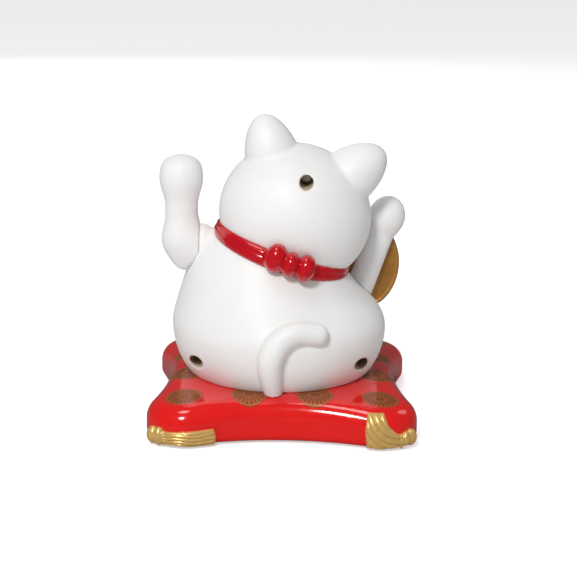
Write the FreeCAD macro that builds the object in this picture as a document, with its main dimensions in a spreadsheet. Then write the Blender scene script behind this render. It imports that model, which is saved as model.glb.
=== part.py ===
import FreeCAD, Part
import math
import os
import re
import Sketcher

from FreeCAD import Placement, Rotation, Vector

# Beckoning cat on a cushion, millimetres.
# Origin: centre of the cushion on the ground. +Z up, the cat looks along -Y, its left arm is on +X.

# Driving dimensions: name in the sheet, value, what it measures.
SIZES = {
    "foot_height": (1, "rubber foot thickness, and so the underside of the base"),
    "foot_radius": (5, "rubber foot radius"),
    "foot_reach": (38, "rubber foot centre, from both mid-planes"),
    "parting": (9, "height where the base tray meets the cushion"),
    "crown": (25, "top of the cushion at its centre"),
    "crown_ball": (600, "radius of the sphere that crowns the cushion"),
    "lobe_centre": (48.5, "centre of a corner lobe, from both mid-planes"),
    "lobe_radius": (20, "corner lobe radius"),
    "waist": (60.5, "half width of the cushion at mid-side"),
    "cushion_wall": (2.2, "wall of the cushion and the tray"),
    "edge_round": (10, "round along the cushion's top edge"),
    "base_round": (4, "round along the tray's bottom edge"),
    "tray_floor": (3, "inside face of the tray's floor"),
    "tassel_proud": (2.6, "how far a tassel stands off the cushion's side"),
    "seat_radius": (24, "raised seat for the movement"),
    "seat_top": (26, "top of that seat, and inside floor of the body"),
    "cat_middle": (2, "mid-plane of the body, across the cushion"),
    "bun_radius": (56.2, "radius of the round lower body"),
    "bun_equator": (46, "height of its widest ring"),
    "bun_rise": (29.5, "its height above the widest ring"),
    "bun_drop": (45, "its height below the widest ring"),
    "chest_middle": (10, "chest centre, across"),
    "chest_height": (66, "chest centre, up"),
    "chest_wide": (42.3, "chest half width"),
    "chest_deep": (40, "chest half depth"),
    "chest_tall": (37.2, "chest half height"),
    "head_middle": (-5.5, "head centre, across"),
    "head_height": (105.5, "head centre, up"),
    "head_wide": (40, "head half width"),
    "head_round": (37, "head half depth and half height"),
    "head_lean": (-18, "lean of the head towards its right shoulder, degrees"),
    "left_ear_lean": (18.5, "lean of the left ear, degrees"),
    "right_ear_lean": (-52.3, "lean of the right ear, degrees"),
    "ear_reach": (31, "ear centre, from the head's centre"),
    "ear_wide": (14, "ear half width"),
    "ear_deep": (10, "ear half depth"),
    "ear_long": (24, "ear half length"),
    "shell_wall": (2, "wall of the body shells"),
    "body_opening": (36, "radius of the hole in the body's floor"),
    "fit_gap": (0.05, "gap where one piece lies on another's curved face"),
    "pivot_height": (86, "height of the arm's pivot axis"),
    "stub_radius": (8.6, "radius of the shoulder stub"),
    "shoulder": (44, "outer end of the shoulder stub"),
    "recess_radius": (12, "shoulder recess that the arm turns in"),
    "arm_gap": (0.3, "gap between the shoulder and the arm"),
    "arm_wall": (1.8, "wall of the waving arm"),
    "shaft_radius": (1, "pivot shaft radius"),
    "shaft_tip": (53.5, "end of the pivot shaft in the arm"),
    "running_gap": (0.05, "radial gap of the shaft in its bushes"),
    "press_gap": (0.02, "radial gap of a pressed or glued seat"),
    "swing_plane": (12, "plane that the pendulum swings in"),
    "coil_top": (33.5, "top of the drive coil"),
    "magnet_radius": (5, "magnet radius"),
    "magnet_low": (36, "underside of the magnet"),
    "cell_radius": (7.25, "AA cell radius"),
    "cell_length": (49.5, "AA cell length without its nub"),
    "cell_across": (-18, "AA cell axis, front to back"),
    "cell_height": (11, "AA cell axis, up"),
    "cell_left": (-28.2, "end of the cell's can on the plus side"),
    "door_thick": (1.6, "battery door thickness"),
    "knuckle": (1.3, "radius of the door's hinge knuckle"),
    "door_back": (-34.5, "hinge axis, front to back"),
    "door_front": (-8, "free edge of the door"),
    "door_half": (33, "half length of the door"),
    "screw_hole": (1.6, "clearance hole radius for the self-tapping screws"),
    "pilot": (1.35, "pilot hole radius"),
    "thread": (1.3, "screw thread radius"),
    "screw_head": (2.75, "screw head radius"),
    "head_thick": (2.2, "screw head height"),
    "access": (3.5, "radius of the screw access holes in the back"),
    "screw_face": (10, "seat of the back screws, front to back"),
    "low_screw_out": (42.3, "lower back screws, from the cat's mid-plane"),
    "low_screw_up": (34, "lower back screws, up"),
    "top_screw_over": (-10.7, "upper back screw, across"),
    "top_screw_up": (127.2, "upper back screw, up"),
    "body_screw_out": (24, "body screws, from the cat's mid-plane"),
    "body_screw_deep": (34, "body screws, front to back"),
    "collar_ring": (31.4, "radius of the collar's centre line"),
    "collar_band": (5.9, "half height of the collar's band"),
    "collar_lean": (-18.7, "lean of the collar, degrees"),
    "coin_long": (21.4, "half length of the oval coin"),
    "coin_wide": (13.9, "half width of the oval coin"),
    "coin_thick": (3.4, "thickness of the oval coin"),
    "coin_lean": (9.3, "lean of the coin, degrees"),
    "slide_travel": (4, "travel of the power switch"),
}

doc = FreeCAD.newDocument("beckoning_cat")
sheet = doc.addObject("Spreadsheet::Sheet", "Sizes")
for row, (alias, (value, meaning)) in enumerate(SIZES.items(), start=1):
    sheet.set(f"A{row}", meaning)
    sheet.set(f"B{row}", str(value))
    sheet.setAlias(f"B{row}", alias)
doc.recompute()

BIG = 200          # larger than the whole figure
nodes = []         # the finished sub-parts, in the order that they are made


# ---------------------------------------------------------------- helpers

def size(alias):
    """The sheet's value, for shapes made in code."""
    return float(sheet.get(alias))


def bind(item, prop, value):
    """Ties a property to the sheet. The value is a number or an expression of sheet names."""
    def name(word):
        return "Sizes." + word[0] if word[0] in SIZES else word[0]
    item.setExpression(prop, re.sub(r"[a-z][a-z_]+", name, str(value)))


def place(item, at, rotation=Rotation()):
    item.Placement = Placement(Vector(0, 0, 0), rotation)
    for letter, value in zip("xyz", at):
        bind(item, "Placement.Base." + letter, value)


ALONG = {
    "x": Rotation(Vector(0, 1, 0), 90),
    "y": Rotation(Vector(1, 0, 0), -90),
    "z": Rotation(),
}


def primitive(kind, name, at, rotation, sizes):
    item = doc.addObject("Part::" + kind, name)
    for prop, value in sizes.items():
        bind(item, prop, value)
    place(item, at, rotation)
    return item


def box(name, low, lengths):
    sizes = dict(zip(("Length", "Width", "Height"), lengths))
    return primitive("Box", name, low, Rotation(), sizes)


def rod(name, start, axis, radius, length):
    """A cylinder from its start point along +x, +y or +z."""
    return primitive("Cylinder", name, start, ALONG[axis], {"Radius": radius, "Height": length})


def cone(name, start, rotation, low_radius, top_radius, length):
    sizes = {"Radius1": low_radius, "Radius2": top_radius, "Height": length}
    return primitive("Cone", name, start, rotation, sizes)


def ball(name, centre, radius):
    return primitive("Sphere", name, centre, Rotation(), {"Radius": radius})


def ellipsoid(name, centre, radii, lean=0, latitudes=(-90, 90)):
    """Radii are along x, y and z before the lean, which tips the top towards +X."""
    sizes = {"Radius2": radii[0], "Radius3": radii[1], "Radius1": radii[2]}
    item = primitive("Ellipsoid", name, centre, Rotation(), sizes)
    item.Angle1, item.Angle2 = latitudes
    item.Placement = Placement(item.Placement.Base, Rotation(Vector(0, 1, 0), lean))
    return item


def fuse(name, *items):
    item = doc.addObject("Part::MultiFuse", name)
    item.Shapes = list(items)
    return item


def common(name, *items):
    item = doc.addObject("Part::MultiCommon", name)
    item.Shapes = list(items)
    return item


def cut(name, base, *tools):
    item = doc.addObject("Part::Cut", name)
    item.Base = base
    item.Tool = tools[0] if len(tools) == 1 else fuse(name + "_tools", *tools)
    return item


def group(name, *items):
    """Separate solids that share one node."""
    item = doc.addObject("Part::Compound", name)
    item.Links = list(items)
    return item


def node(name, item):
    """Labels a finished sub-part. The label names its file."""
    item.Label = name
    nodes.append(item)
    return item


def solid_feature(name, shape):
    item = doc.addObject("Part::Feature", name)
    item.Shape = shape
    return item


def smooth_tube(name, points, radius):
    """A round tube along a smooth line through the points."""
    line = Part.BSplineCurve()
    line.interpolate([Vector(*point) for point in points])
    path = Part.Wire([line.toShape()])
    ring = Part.Wire([Part.Circle(Vector(*points[0]), line.tangent(0)[0], radius).toShape()])
    return solid_feature(name, path.makePipeShell([ring], True, True))


def screw(name, seat, axis, side, shank):
    """A pan-head screw: its head stands on the seat, its shank points away from the head.

    side is +1 where the head is on the + side of the seat along the axis, else -1.
    """
    index = "xyz".index(axis)
    head_start = list(seat)
    shank_start = list(seat)
    if side > 0:
        shank_start[index] = f"{seat[index]} - {shank}"
    else:
        head_start[index] = f"{seat[index]} - head_thick"
    return fuse(
        name,
        rod(name + "_head", head_start, axis, "screw_head", "head_thick"),
        rod(name + "_shank", shank_start, axis, "thread", shank),
    )


# ---------------------------------------------------------------- the cat's outer form

def cat_form(name, offset):
    """The body, head, ears and shoulder stub, all grown by the offset; the arm's recess is cut out."""
    bun = ("cat_middle", 0, "bun_equator")
    upper = ellipsoid(
        name + "_bun_upper", bun,
        (f"bun_radius + {offset}", f"bun_radius + {offset}", f"bun_rise + {offset}"), 0, (0, 90))
    lower = ellipsoid(
        name + "_bun_lower", bun,
        (f"bun_radius + {offset}", f"bun_radius + {offset}", f"bun_drop + {offset}"), 0, (-90, 0))
    chest = ellipsoid(
        name + "_chest", ("chest_middle", 0, "chest_height"),
        (f"chest_wide + {offset}", f"chest_deep + {offset}", f"chest_tall + {offset}"))
    head = ellipsoid(
        name + "_head", ("head_middle", 0, "head_height"),
        (f"head_wide + {offset}", f"head_round + {offset}", f"head_round + {offset}"),
        size("head_lean"))
    ears = [
        ellipsoid(
            name + "_" + lean,
            (f"head_middle + ear_reach * sin({lean})", 0, f"head_height + ear_reach * cos({lean})"),
            (f"ear_wide + {offset}", f"ear_deep + {offset}", f"ear_long + {offset}"), size(lean))
        for lean in ("left_ear_lean", "right_ear_lean")
    ]
    stub_start = 24
    flare_length = 4.5
    flare_rise = 1.4
    stub = rod(
        name + "_stub", (stub_start, 0, "pivot_height"), "x",
        f"stub_radius + {offset}", f"shoulder + {offset} - {stub_start}")
    flare = cone(
        name + "_flare", (f"shoulder + {offset} - {flare_length}", 0, "pivot_height"), ALONG["x"],
        f"stub_radius + {offset}", f"stub_radius + {flare_rise} + {offset}", flare_length)
    recess = rod(
        name + "_recess", (f"shoulder + {offset}", 0, "pivot_height"), "x",
        f"recess_radius - {offset}", BIG)
    return cut(name, fuse(name + "_parts", upper, lower, chest, head, stub, flare, *ears), recess)


outer_form = cat_form("outer_form", 0)
cavity_form = cat_form("cavity_form", "(0 - shell_wall)")
clear_form = cat_form("clear_form", "fit_gap")
mid_wall_form = cat_form("mid_wall_form", "(0 - shell_wall / 2)")      # tubes and posts end in mid-wall

rear_half = box("rear_half", (-BIG, 0, 0), (2 * BIG, BIG, BIG))
front_half = box("front_half", (-BIG, -BIG, 0), (2 * BIG, BIG, BIG))


# ---------------------------------------------------------------- body shells

def crown_clearance(name):
    """Everything under the cushion's crown, and the fit gap above it."""
    return ball(name, (0, 0, "crown - crown_ball"), "crown_ball + fit_gap")


BACK_SCREWS = [
    ("cat_middle + low_screw_out", "low_screw_up"),
    ("cat_middle - low_screw_out", "low_screw_up"),
    ("top_screw_over", "top_screw_up"),
]
BODY_SCREWS = [
    (f"cat_middle {across} body_screw_out", f"0 {deep} body_screw_deep")
    for across in "+-" for deep in "+-"
]
BOSS_RADIUS = 4
BOSS_TOP = 36
BOSS_BLIND = 2
TUBE_RADIUS = 5
SEAT_THICK = 2


def hollow_half(name, half):
    """Half of the body, hollow above its floor and open in the middle of it."""
    cavity = common(
        name + "_cavity", cavity_form,
        box(name + "_above_floor", (-BIG, -BIG, "seat_top"), (2 * BIG, 2 * BIG, BIG)))
    opening = rod(name + "_opening", ("cat_middle", 0, 0), "z", "body_opening", "seat_top + 1")
    solid = common(name + "_form", outer_form, half)
    return cut(name + "_hollow", solid, cavity, opening, crown_clearance(name + "_under"))


def relief(name, form):
    """A form that stands out from the body: only its part outside the middle of the wall, above the crown."""
    return cut(name + "_relief", cut(name + "_outside", form, mid_wall_form), crown_clearance(name + "_crown"))


def floor_bosses(name, front):
    """The bosses that the body screws enter from below, for one half, and their pilot holes."""
    bosses = []
    pilots = []
    for index, (across, deep) in enumerate(BODY_SCREWS):
        if ("-" in deep) != front:
            continue
        boss = rod(f"{name}_boss{index}", (across, deep, 20), "z", BOSS_RADIUS, BOSS_TOP - 20)
        bosses.append(cut(f"{name}_boss_cut{index}", boss, crown_clearance(f"{name}_boss_under{index}")))
        pilots.append(rod(f"{name}_pilot{index}", (across, deep, 20), "z", "pilot",
                          BOSS_TOP - 20 - BOSS_BLIND))
    return bosses, pilots


def make_rear_shell():
    tail_points = [
        (4.4, 47.3, 20.0),
        (6.4, 53.6, 33.0),
        (6.4, 55.8, 41.0),
        (4.6, 55.6, 47.5),
        (0.0, 53.8, 53.0),
        (-7.5, 52.0, 56.2),
        (-17.0, 49.8, 55.4),
    ]
    tail_radius = 5.8
    tail = smooth_tube("tail_length", tail_points, tail_radius)
    tail_tip = ball("tail_tip", tail_points[-1], tail_radius - 0.15)
    tail_relief = relief("tail", fuse("tail_whole", tail, tail_tip))
    hollow = fuse("rear_with_tail", hollow_half("rear", rear_half), tail_relief)

    tubes = []
    holes = []
    for index, (across, up) in enumerate(BACK_SCREWS):
        tube = rod(f"tube{index}", (across, f"screw_face - {SEAT_THICK}", up), "y", TUBE_RADIUS, BIG)
        tubes.append(common(f"tube_trim{index}", tube, mid_wall_form))
        holes.append(rod(f"access{index}", (across, "screw_face", up), "y", "access", BIG))
        holes.append(rod(f"tube_hole{index}", (across, 0, up), "y", "screw_hole", "screw_face + 1"))
    bosses, pilots = floor_bosses("rear", front=False)
    body = fuse("rear_with_tubes", hollow, *tubes, *bosses)
    shaft_hole = rod("rear_shaft_hole", (30, 0, "pivot_height"), "x", "screw_hole", 20)
    node("rear_shell", cut("rear_shell", body, *holes, *pilots, shaft_hole))


def make_front_shell():
    forms = [
        ellipsoid("muzzle_right", ("head_middle - 2.2", -33.5, 97.6), (8.5, 7, 6.5)),
        ellipsoid("muzzle_left", ("head_middle + 9.8", -33.5, 101.3), (8.5, 7, 6.5)),
        ellipsoid("foot_right", ("cat_middle - 25", -46, 31), (12, 14, 9.5)),
        ellipsoid("foot_left", ("cat_middle + 25", -46, 31), (12, 14, 9.5)),
    ]
    reliefs = [relief(form.Name, form) for form in forms]
    hollow = fuse("front_with_reliefs", hollow_half("front", front_half), *reliefs)

    posts = []
    pilots = []
    post_end = size("screw_face") - SEAT_THICK - 0.1
    for index, (across, up) in enumerate(BACK_SCREWS):
        post = rod(f"post{index}", (across, post_end - BIG, up), "y", BOSS_RADIUS, BIG)
        posts.append(common(f"post_trim{index}", post, mid_wall_form))
        pilots.append(rod(f"post_pilot{index}", (across, post_end - 16, up), "y", "pilot", 17))
    bosses, floor_pilots = floor_bosses("front", front=True)
    arm_boss_rod = rod("coin_arm_boss_rod", (-60, ARM_PEG_DEEP, ARM_PEG_UP), "x", 4.5, 60 + ARM_SCREW_SEAT)
    arm_boss = common("coin_arm_boss", arm_boss_rod, mid_wall_form)
    peg_hole = rod("coin_arm_hole", (-60, ARM_PEG_DEEP, ARM_PEG_UP), "x", ARM_PEG + 0.05,
                   61 + ARM_SCREW_SEAT)
    body = fuse("front_with_posts", hollow, *posts, *bosses, arm_boss)
    shaft_hole = rod("front_shaft_hole", (30, 0, "pivot_height"), "x", "screw_hole", 20)
    node("front_shell", cut("front_shell", body, *pilots, *floor_pilots, peg_hole, shaft_hole))


def make_shell_screws():
    screws = [
        screw(f"shell_screw{index}", (across, "screw_face", up), "y", 1, 16)
        for index, (across, up) in enumerate(BACK_SCREWS)
    ]
    node("shell_screws", group("shell_screws", *screws))


# ---------------------------------------------------------------- collar and bell

COLLAR_MIDDLE = 1.2
COLLAR_UP = 86.5
RING_TURN = Rotation(Vector(0, 1, 0), size("collar_lean"))


def make_collar():
    ring = primitive(
        "Torus", "collar_torus", (COLLAR_MIDDLE, 0, COLLAR_UP), RING_TURN,
        {"Radius1": "collar_ring", "Radius2": "collar_band"})
    knots = [
        ellipsoid("knot_left", (4.1, 36.5, 90.2), (6, 6.5, 7.5)),
        ellipsoid("knot_middle", (-3.2, 37.5, 87.3), (5, 6.5, 6.6)),
        ellipsoid("knot_right", (-10.7, 36.3, 85.0), (5.3, 6.5, 7.2)),
    ]
    rear = cut("collar_rear_band", common("collar_rear_ring", ring, rear_half), clear_form)
    knots_outside = cut("collar_knots_outside", fuse("collar_knots", *knots), clear_form)
    lobes = cut("collar_lobes", knots_outside, ring)
    node("collar_rear", group("collar_rear", rear, lobes))
    front = common("collar_front_ring", ring, front_half)
    node("collar_front", cut("collar_front", front, clear_form))


def make_bell():
    centre = (2.5, -44, 79)
    bell_radius = 5.5
    bell_wall = 0.7
    shell = ball("bell_outside", centre, bell_radius)
    hollow = ball("bell_inside", centre, bell_radius - bell_wall)
    slot = box("bell_slot", (centre[0] - 4, centre[1] - 0.5, centre[2] - 8), (8, 1, 6))
    eye = rod("bell_eye", (centre[0], centre[1], centre[2] + bell_radius - 1), "z", 1, 4)
    bell = cut("bell_body", shell, hollow, slot)
    collar_room = primitive(
        "Torus", "bell_collar_room", (COLLAR_MIDDLE, 0, COLLAR_UP), RING_TURN,
        {"Radius1": "collar_ring", "Radius2": "collar_band + fit_gap"})
    arm = rod("bell_hanger", (centre[0], centre[1], centre[2] + bell_radius + 1.5), "y", 0.9, 9)
    node("bell", cut("bell", fuse("bell_with_eye", bell, eye, arm), collar_room, clear_form))


# ---------------------------------------------------------------- the raised arm that holds the coin

ARM_PEG_DEEP = -13.5
ARM_PEG_UP = 66
ARM_PEG = 2.4
ARM_SCREW_SEAT = -26
COIN_BACK = -24.5
COIN_CENTRE = (-48.1, 72.2)
COIN_PEG = (-46.6, 78)


def oval(name, grow, back, thick):
    """The coin's oval, grown all round, from its back face towards the front."""
    outline = doc.addObject("Part::Ellipse", name + "_outline")
    bind(outline, "MajorRadius", f"coin_long + {grow}")
    bind(outline, "MinorRadius", f"coin_wide + {grow}")
    turn = Rotation(Vector(0, 1, 0), -90 - size("coin_lean")) * Rotation(Vector(1, 0, 0), 90)
    place(outline, (COIN_CENTRE[0], back, COIN_CENTRE[1]), turn)
    item = doc.addObject("Part::Extrusion", name)
    item.Base = outline
    item.DirMode = "Custom"
    item.Dir = Vector(0, -1, 0)
    item.Solid = True
    bind(item, "LengthFwd", thick)
    return item


def make_koban():
    plate = oval("koban_plate", 0, COIN_BACK, "coin_thick")
    dish = oval("koban_dish", -1.8, f"{COIN_BACK} - coin_thick + 0.5", 1)
    peg = rod("koban_peg", (COIN_PEG[0], COIN_BACK - 1, COIN_PEG[1]), "y", 1.5, 8)
    coin = cut("koban_coin", plate, dish, clear_form)
    node("koban", fuse("koban", coin, peg))


def make_coin_arm():
    elbow = Vector(-39, -14, 58)
    wrist = Vector(-54.4, -17, 100)
    lower_radius = 7.2
    upper_radius = 6.9
    along = Rotation(Vector(0, 0, 1), wrist - elbow)
    forearm = cone("coin_forearm", elbow, along, lower_radius, upper_radius, (wrist - elbow).Length)
    end = ball("coin_elbow", elbow, lower_radius)
    paw = ellipsoid("coin_paw", (-54.4, -17.5, 100.5), (9.8, 10.5, 11.6), -19)
    form = cut("coin_arm_form", fuse("coin_arm_parts", forearm, end, paw), clear_form)
    peg = rod("coin_arm_peg", (-45, ARM_PEG_DEEP, ARM_PEG_UP), "x", ARM_PEG,
              ARM_SCREW_SEAT - 0.1 + 45)
    slot = oval("coin_slot", "fit_gap", f"{COIN_BACK} + fit_gap", 6)
    peg_hole = rod("koban_peg_hole", (COIN_PEG[0], COIN_BACK - 2, COIN_PEG[1]), "y", 1.55, 9.2)
    pilot = rod("coin_arm_pilot", (-42, ARM_PEG_DEEP, ARM_PEG_UP), "x", "pilot", 17)
    node("coin_arm", cut("coin_arm", fuse("coin_arm_with_peg", form, peg), slot, peg_hole, pilot))
    node("coin_arm_screw", screw("coin_arm_screw", (ARM_SCREW_SEAT, ARM_PEG_DEEP, ARM_PEG_UP), "x", 1, 15.5))


# ---------------------------------------------------------------- the waving arm and its shaft

def arm_form(name, offset):
    lower = ellipsoid(
        name + "_shoulder", (48, 0, 88),
        (f"14.3 + {offset}", f"10 + {offset}", f"13.4 + {offset}"))
    forearm = cone(
        name + "_forearm", (53.8, 0, 90), Rotation(), f"8.7 + {offset}", f"8.4 + {offset}", 30)
    paw = ellipsoid(
        name + "_paw", (54, -3, 124.8),
        (f"11.5 + {offset}", f"12.5 + {offset}", f"11.4 + {offset}"))
    outside = box(
        name + "_outside", (f"shoulder + arm_gap - ({offset})", -BIG / 2, 0), (BIG, BIG, BIG))
    return common(name, fuse(name + "_parts", lower, forearm, paw), outside)


def make_waving_arm():
    skin = arm_form("arm_skin", 0)
    socket = rod("arm_socket", (40, 0, "pivot_height"), "x", 3.6, 16)
    hollow = cut("arm_hollow", arm_form("arm_inside", "(0 - arm_wall)"), socket)
    bore = rod("arm_bore", (40, 0, "pivot_height"), "x", "shaft_radius + press_gap", "shaft_tip - 39.9")
    arm = cut("arm_whole", skin, hollow, bore)
    node("waving_arm_rear", common("waving_arm_rear", arm, rear_half))
    node("waving_arm_front", common("waving_arm_front", arm, front_half))


def make_pivot_shaft():
    node("pivot_shaft", rod("pivot_shaft", (-1, 0, "pivot_height"), "x", "shaft_radius", "shaft_tip + 1"))


# ---------------------------------------------------------------- pendulum

CARRIER_TOP = 48
SLUG_TOP = 46


def make_pendulum():
    hub = rod("pendulum_hub", ("swing_plane - 3", 0, "pivot_height"), "x", 4, 6)
    bar = box("pendulum_bar", ("swing_plane - 1", -3, CARRIER_TOP - 1),
              (2, 6, f"pivot_height - {CARRIER_TOP - 1}"))
    carrier = rod("pendulum_carrier", ("swing_plane", 0, "magnet_low"), "z",
                  "magnet_radius + 1.3", f"{CARRIER_TOP} - magnet_low")
    pocket = rod("pendulum_pocket", ("swing_plane", 0, "magnet_low - 1"), "z",
                 "magnet_radius + press_gap", f"{SLUG_TOP} + press_gap - magnet_low + 1")
    bore = rod("pendulum_bore", (0, 0, "pivot_height"), "x", "shaft_radius + press_gap", 30)
    node("pendulum", cut("pendulum", fuse("pendulum_solid", hub, bar, carrier), pocket, bore))
    node("pendulum_magnet", rod("pendulum_magnet", ("swing_plane", 0, "magnet_low"), "z",
                                "magnet_radius", 4))
    node("balance_weight", rod("balance_weight", ("swing_plane", 0, "magnet_low + 4"), "z",
                               "magnet_radius", f"{SLUG_TOP} - magnet_low - 4"))


# ---------------------------------------------------------------- movement frame, bushes, drive

BASE_PLATE = 2
UPRIGHT = 2.5
UPRIGHTS = (0.75, 20.75)            # low face of each upright, across
UPRIGHT_HALF = 8
BUSH_RADIUS = 2.5
FRAME_SCREWS = ((-4, -5), (-4, 9), (28.5, -11), (28.5, 11))
BOARD_FACE = 25.2


def make_movement_frame():
    plate = box("frame_plate", (-8, -14, "seat_top"), (40, 28, BASE_PLATE))
    sides = []
    holes = []
    for index, low in enumerate(UPRIGHTS):
        sides.append(box(f"upright{index}", (low, -UPRIGHT_HALF, "seat_top"),
                         (UPRIGHT, 2 * UPRIGHT_HALF, "pivot_height - seat_top")))
        sides.append(rod(f"upright_top{index}", (low, 0, "pivot_height"), "x", UPRIGHT_HALF, UPRIGHT))
        holes.append(rod(f"bush_hole{index}", (low - 1, 0, "pivot_height"), "x",
                         f"{BUSH_RADIUS} + press_gap", UPRIGHT + 2))
        holes.append(box(f"upright_window{index}", (low - 1, -4.5, 40), (UPRIGHT + 2, 9, 32)))
    for index, (across, deep) in enumerate(FRAME_SCREWS):
        holes.append(rod(f"frame_hole{index}", (across, deep, "seat_top - 1"), "z", "screw_hole",
                         BASE_PLATE + 2))
    holes.append(rod("coil_spigot_hole", ("swing_plane", 0, "seat_top - 1"), "z", 2.05, BASE_PLATE + 2))
    frame = fuse("frame_solid", plate, *sides)
    node("movement_frame", cut("movement_frame", frame, *holes))
    screws = [
        screw(f"frame_screw{index}", (across, deep, f"seat_top + {BASE_PLATE}"), "z", 1, 4.6)
        for index, (across, deep) in enumerate(FRAME_SCREWS)
    ]
    node("frame_screws", group("frame_screws", *screws))


def make_pivot_bushes():
    bushes = []
    for index, low in enumerate(UPRIGHTS):
        flange_start = low + UPRIGHT if index == 0 else low - 0.8
        body = rod(f"bush_body{index}", (low, 0, "pivot_height"), "x", BUSH_RADIUS, UPRIGHT)
        flange = rod(f"bush_flange{index}", (flange_start, 0, "pivot_height"), "x", 3.5, 0.8)
        bore = rod(f"bush_bore{index}", (low - 2, 0, "pivot_height"), "x",
                   "shaft_radius + running_gap", UPRIGHT + 4)
        bushes.append(cut(f"bush{index}", fuse(f"bush_solid{index}", body, flange), bore))
    node("pivot_bushes", group("pivot_bushes", *bushes))


def make_coil():
    floor = f"seat_top + {BASE_PLATE}"
    core = rod("bobbin_core", ("swing_plane", 0, floor), "z", 3, f"coil_top - ({floor})")
    low_flange = rod("bobbin_low", ("swing_plane", 0, floor), "z", 7.8, 0.8)
    top_flange = rod("bobbin_top", ("swing_plane", 0, "coil_top - 0.8"), "z", 7.8, 0.8)
    spigot = rod("bobbin_spigot", ("swing_plane", 0, f"{floor} - 1.8"), "z", 2, 2.8)
    node("coil_bobbin", fuse("coil_bobbin", core, low_flange, top_flange, spigot))
    winding = rod("winding_outside", ("swing_plane", 0, f"{floor} + 0.85"), "z", 7.2,
                  f"coil_top - ({floor}) - 1.7")
    inside = rod("winding_inside", ("swing_plane", 0, floor), "z", 3.05, 10)
    node("coil_winding", cut("coil_winding", winding, inside))


def make_drive_board():
    low = f"seat_top + {BASE_PLATE}"
    board = box("drive_board", (BOARD_FACE, -8, low), (1.6, 16, 18))
    node("drive_board", board)
    parts_face = BOARD_FACE + 1.6
    node("timing_capacitor", rod("timing_capacitor", (parts_face, -3, 39), "x", 3, 7))
    round_side = rod("transistor_round", (parts_face + 1.4, 4.5, 37), "z", 2.3, 4.6)
    flat_side = box("transistor_flat", (parts_face, 0, 30), (4, 9, 20))
    node("drive_transistor", common("drive_transistor", round_side, flat_side))
    node("bias_resistor", rod("bias_resistor", (parts_face + 1.1, -2.5, 32), "y", 1.1, 6))


# ---------------------------------------------------------------- cushion, tray and tassels

def cushion_outline(body, name, inset, low):
    """Four lobes joined by concave sides: eight arcs, tangent end to end."""
    sketch = body.newObject("Sketcher::SketchObject", name + "_outline")
    plane = next(item for item in body.Origin.OriginFeatures if item.Role == "XY_Plane")
    sketch.AttachmentSupport = [(plane, "")]
    sketch.MapMode = "FlatFace"
    bind(sketch, "AttachmentOffset.Base.z", low)

    centre = size("lobe_centre")
    lobe = size("lobe_radius")
    narrow = size("waist") - centre
    side = (centre ** 2 + narrow ** 2 - lobe ** 2) / (2 * (lobe - narrow))
    side_text = ("(lobe_centre^2 + (waist - lobe_centre)^2 - lobe_radius^2)"
                 " / (2 * (lobe_radius - waist + lobe_centre))")
    far = size("waist") + side
    spread = math.atan2(centre, far - centre)
    for quarter in range(4):
        turn = quarter * math.pi / 2
        spin = Rotation(Vector(0, 0, 1), 90 * quarter)
        corner = Part.Circle(spin.multVec(Vector(centre, centre, 0)), Vector(0, 0, 1), lobe)
        hollow = Part.Circle(spin.multVec(Vector(0, far, 0)), Vector(0, 0, 1), side)
        sketch.addGeometry(Part.ArcOfCircle(corner, turn - spread, turn + spread + math.pi / 2))
        sketch.addGeometry(
            Part.ArcOfCircle(hollow, turn - math.pi / 2 - spread, turn - math.pi / 2 + spread))
    for quarter in range(4):
        corner = 2 * quarter
        hollow = corner + 1
        following = (corner + 2) % 8
        spot = Rotation(Vector(0, 0, 1), 90 * quarter).multVec(Vector(centre, centre, 0))
        sketch.addConstraint(Sketcher.Constraint("Tangent", corner, 2, hollow, 2))
        sketch.addConstraint(Sketcher.Constraint("Tangent", hollow, 1, following, 1))
        rules = (
            (Sketcher.Constraint("DistanceX", -1, 1, corner, 3, spot.x), "lobe_centre", spot.x),
            (Sketcher.Constraint("DistanceY", -1, 1, corner, 3, spot.y), "lobe_centre", spot.y),
            (Sketcher.Constraint("Radius", corner, lobe - inset), f"lobe_radius - {inset}", 1),
            (Sketcher.Constraint("Radius", hollow, side + inset), f"{side_text} + {inset}", 1),
        )
        for number, (rule, text, sign) in enumerate(rules):
            index = sketch.addConstraint(rule)
            rule_name = f"rule_{'abcd'[quarter]}{number + 1}x"
            sketch.renameConstraint(index, rule_name)
            bind(sketch, "Constraints." + rule_name, text if sign > 0 else f"-1 * ({text})")
    return sketch


def edges_at(item, low, high):
    """Numbers of the edges whose whole length lies between two heights."""
    return [
        number for number, edge in enumerate(item.Shape.Edges, start=1)
        if low <= edge.BoundBox.ZMin and edge.BoundBox.ZMax <= high
    ]


def fillet(name, base, edges, radius):
    item = doc.addObject("Part::Fillet", name)
    item.Base = base
    item.Edges = [(edge, radius, radius) for edge in edges]
    return item


def cushion_form(name, inset, low, round_base):
    """The cushion's solid, drawn in by the inset on its sides and top, from the height low upwards."""
    body = doc.addObject("PartDesign::Body", name + "_body")
    sketch = cushion_outline(body, name, inset, low)
    pad = body.newObject("PartDesign::Pad", name + "_pad")
    pad.Profile = sketch
    bind(pad, "Length", "crown + 5")
    crown = ball(name + "_crown", (0, 0, "crown - crown_ball"), f"crown_ball - {inset}")
    crowned = common(name + "_crowned", body, crown)
    doc.recompute()
    top_edges = edges_at(crowned, size("parting"), BIG)
    form = fillet(name + "_top_round", crowned, top_edges, size("edge_round") - inset)
    if round_base:
        doc.recompute()
        form = fillet(name + "_base_round", form, edges_at(form, 0, 2), size("base_round"))
    return form


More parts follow.
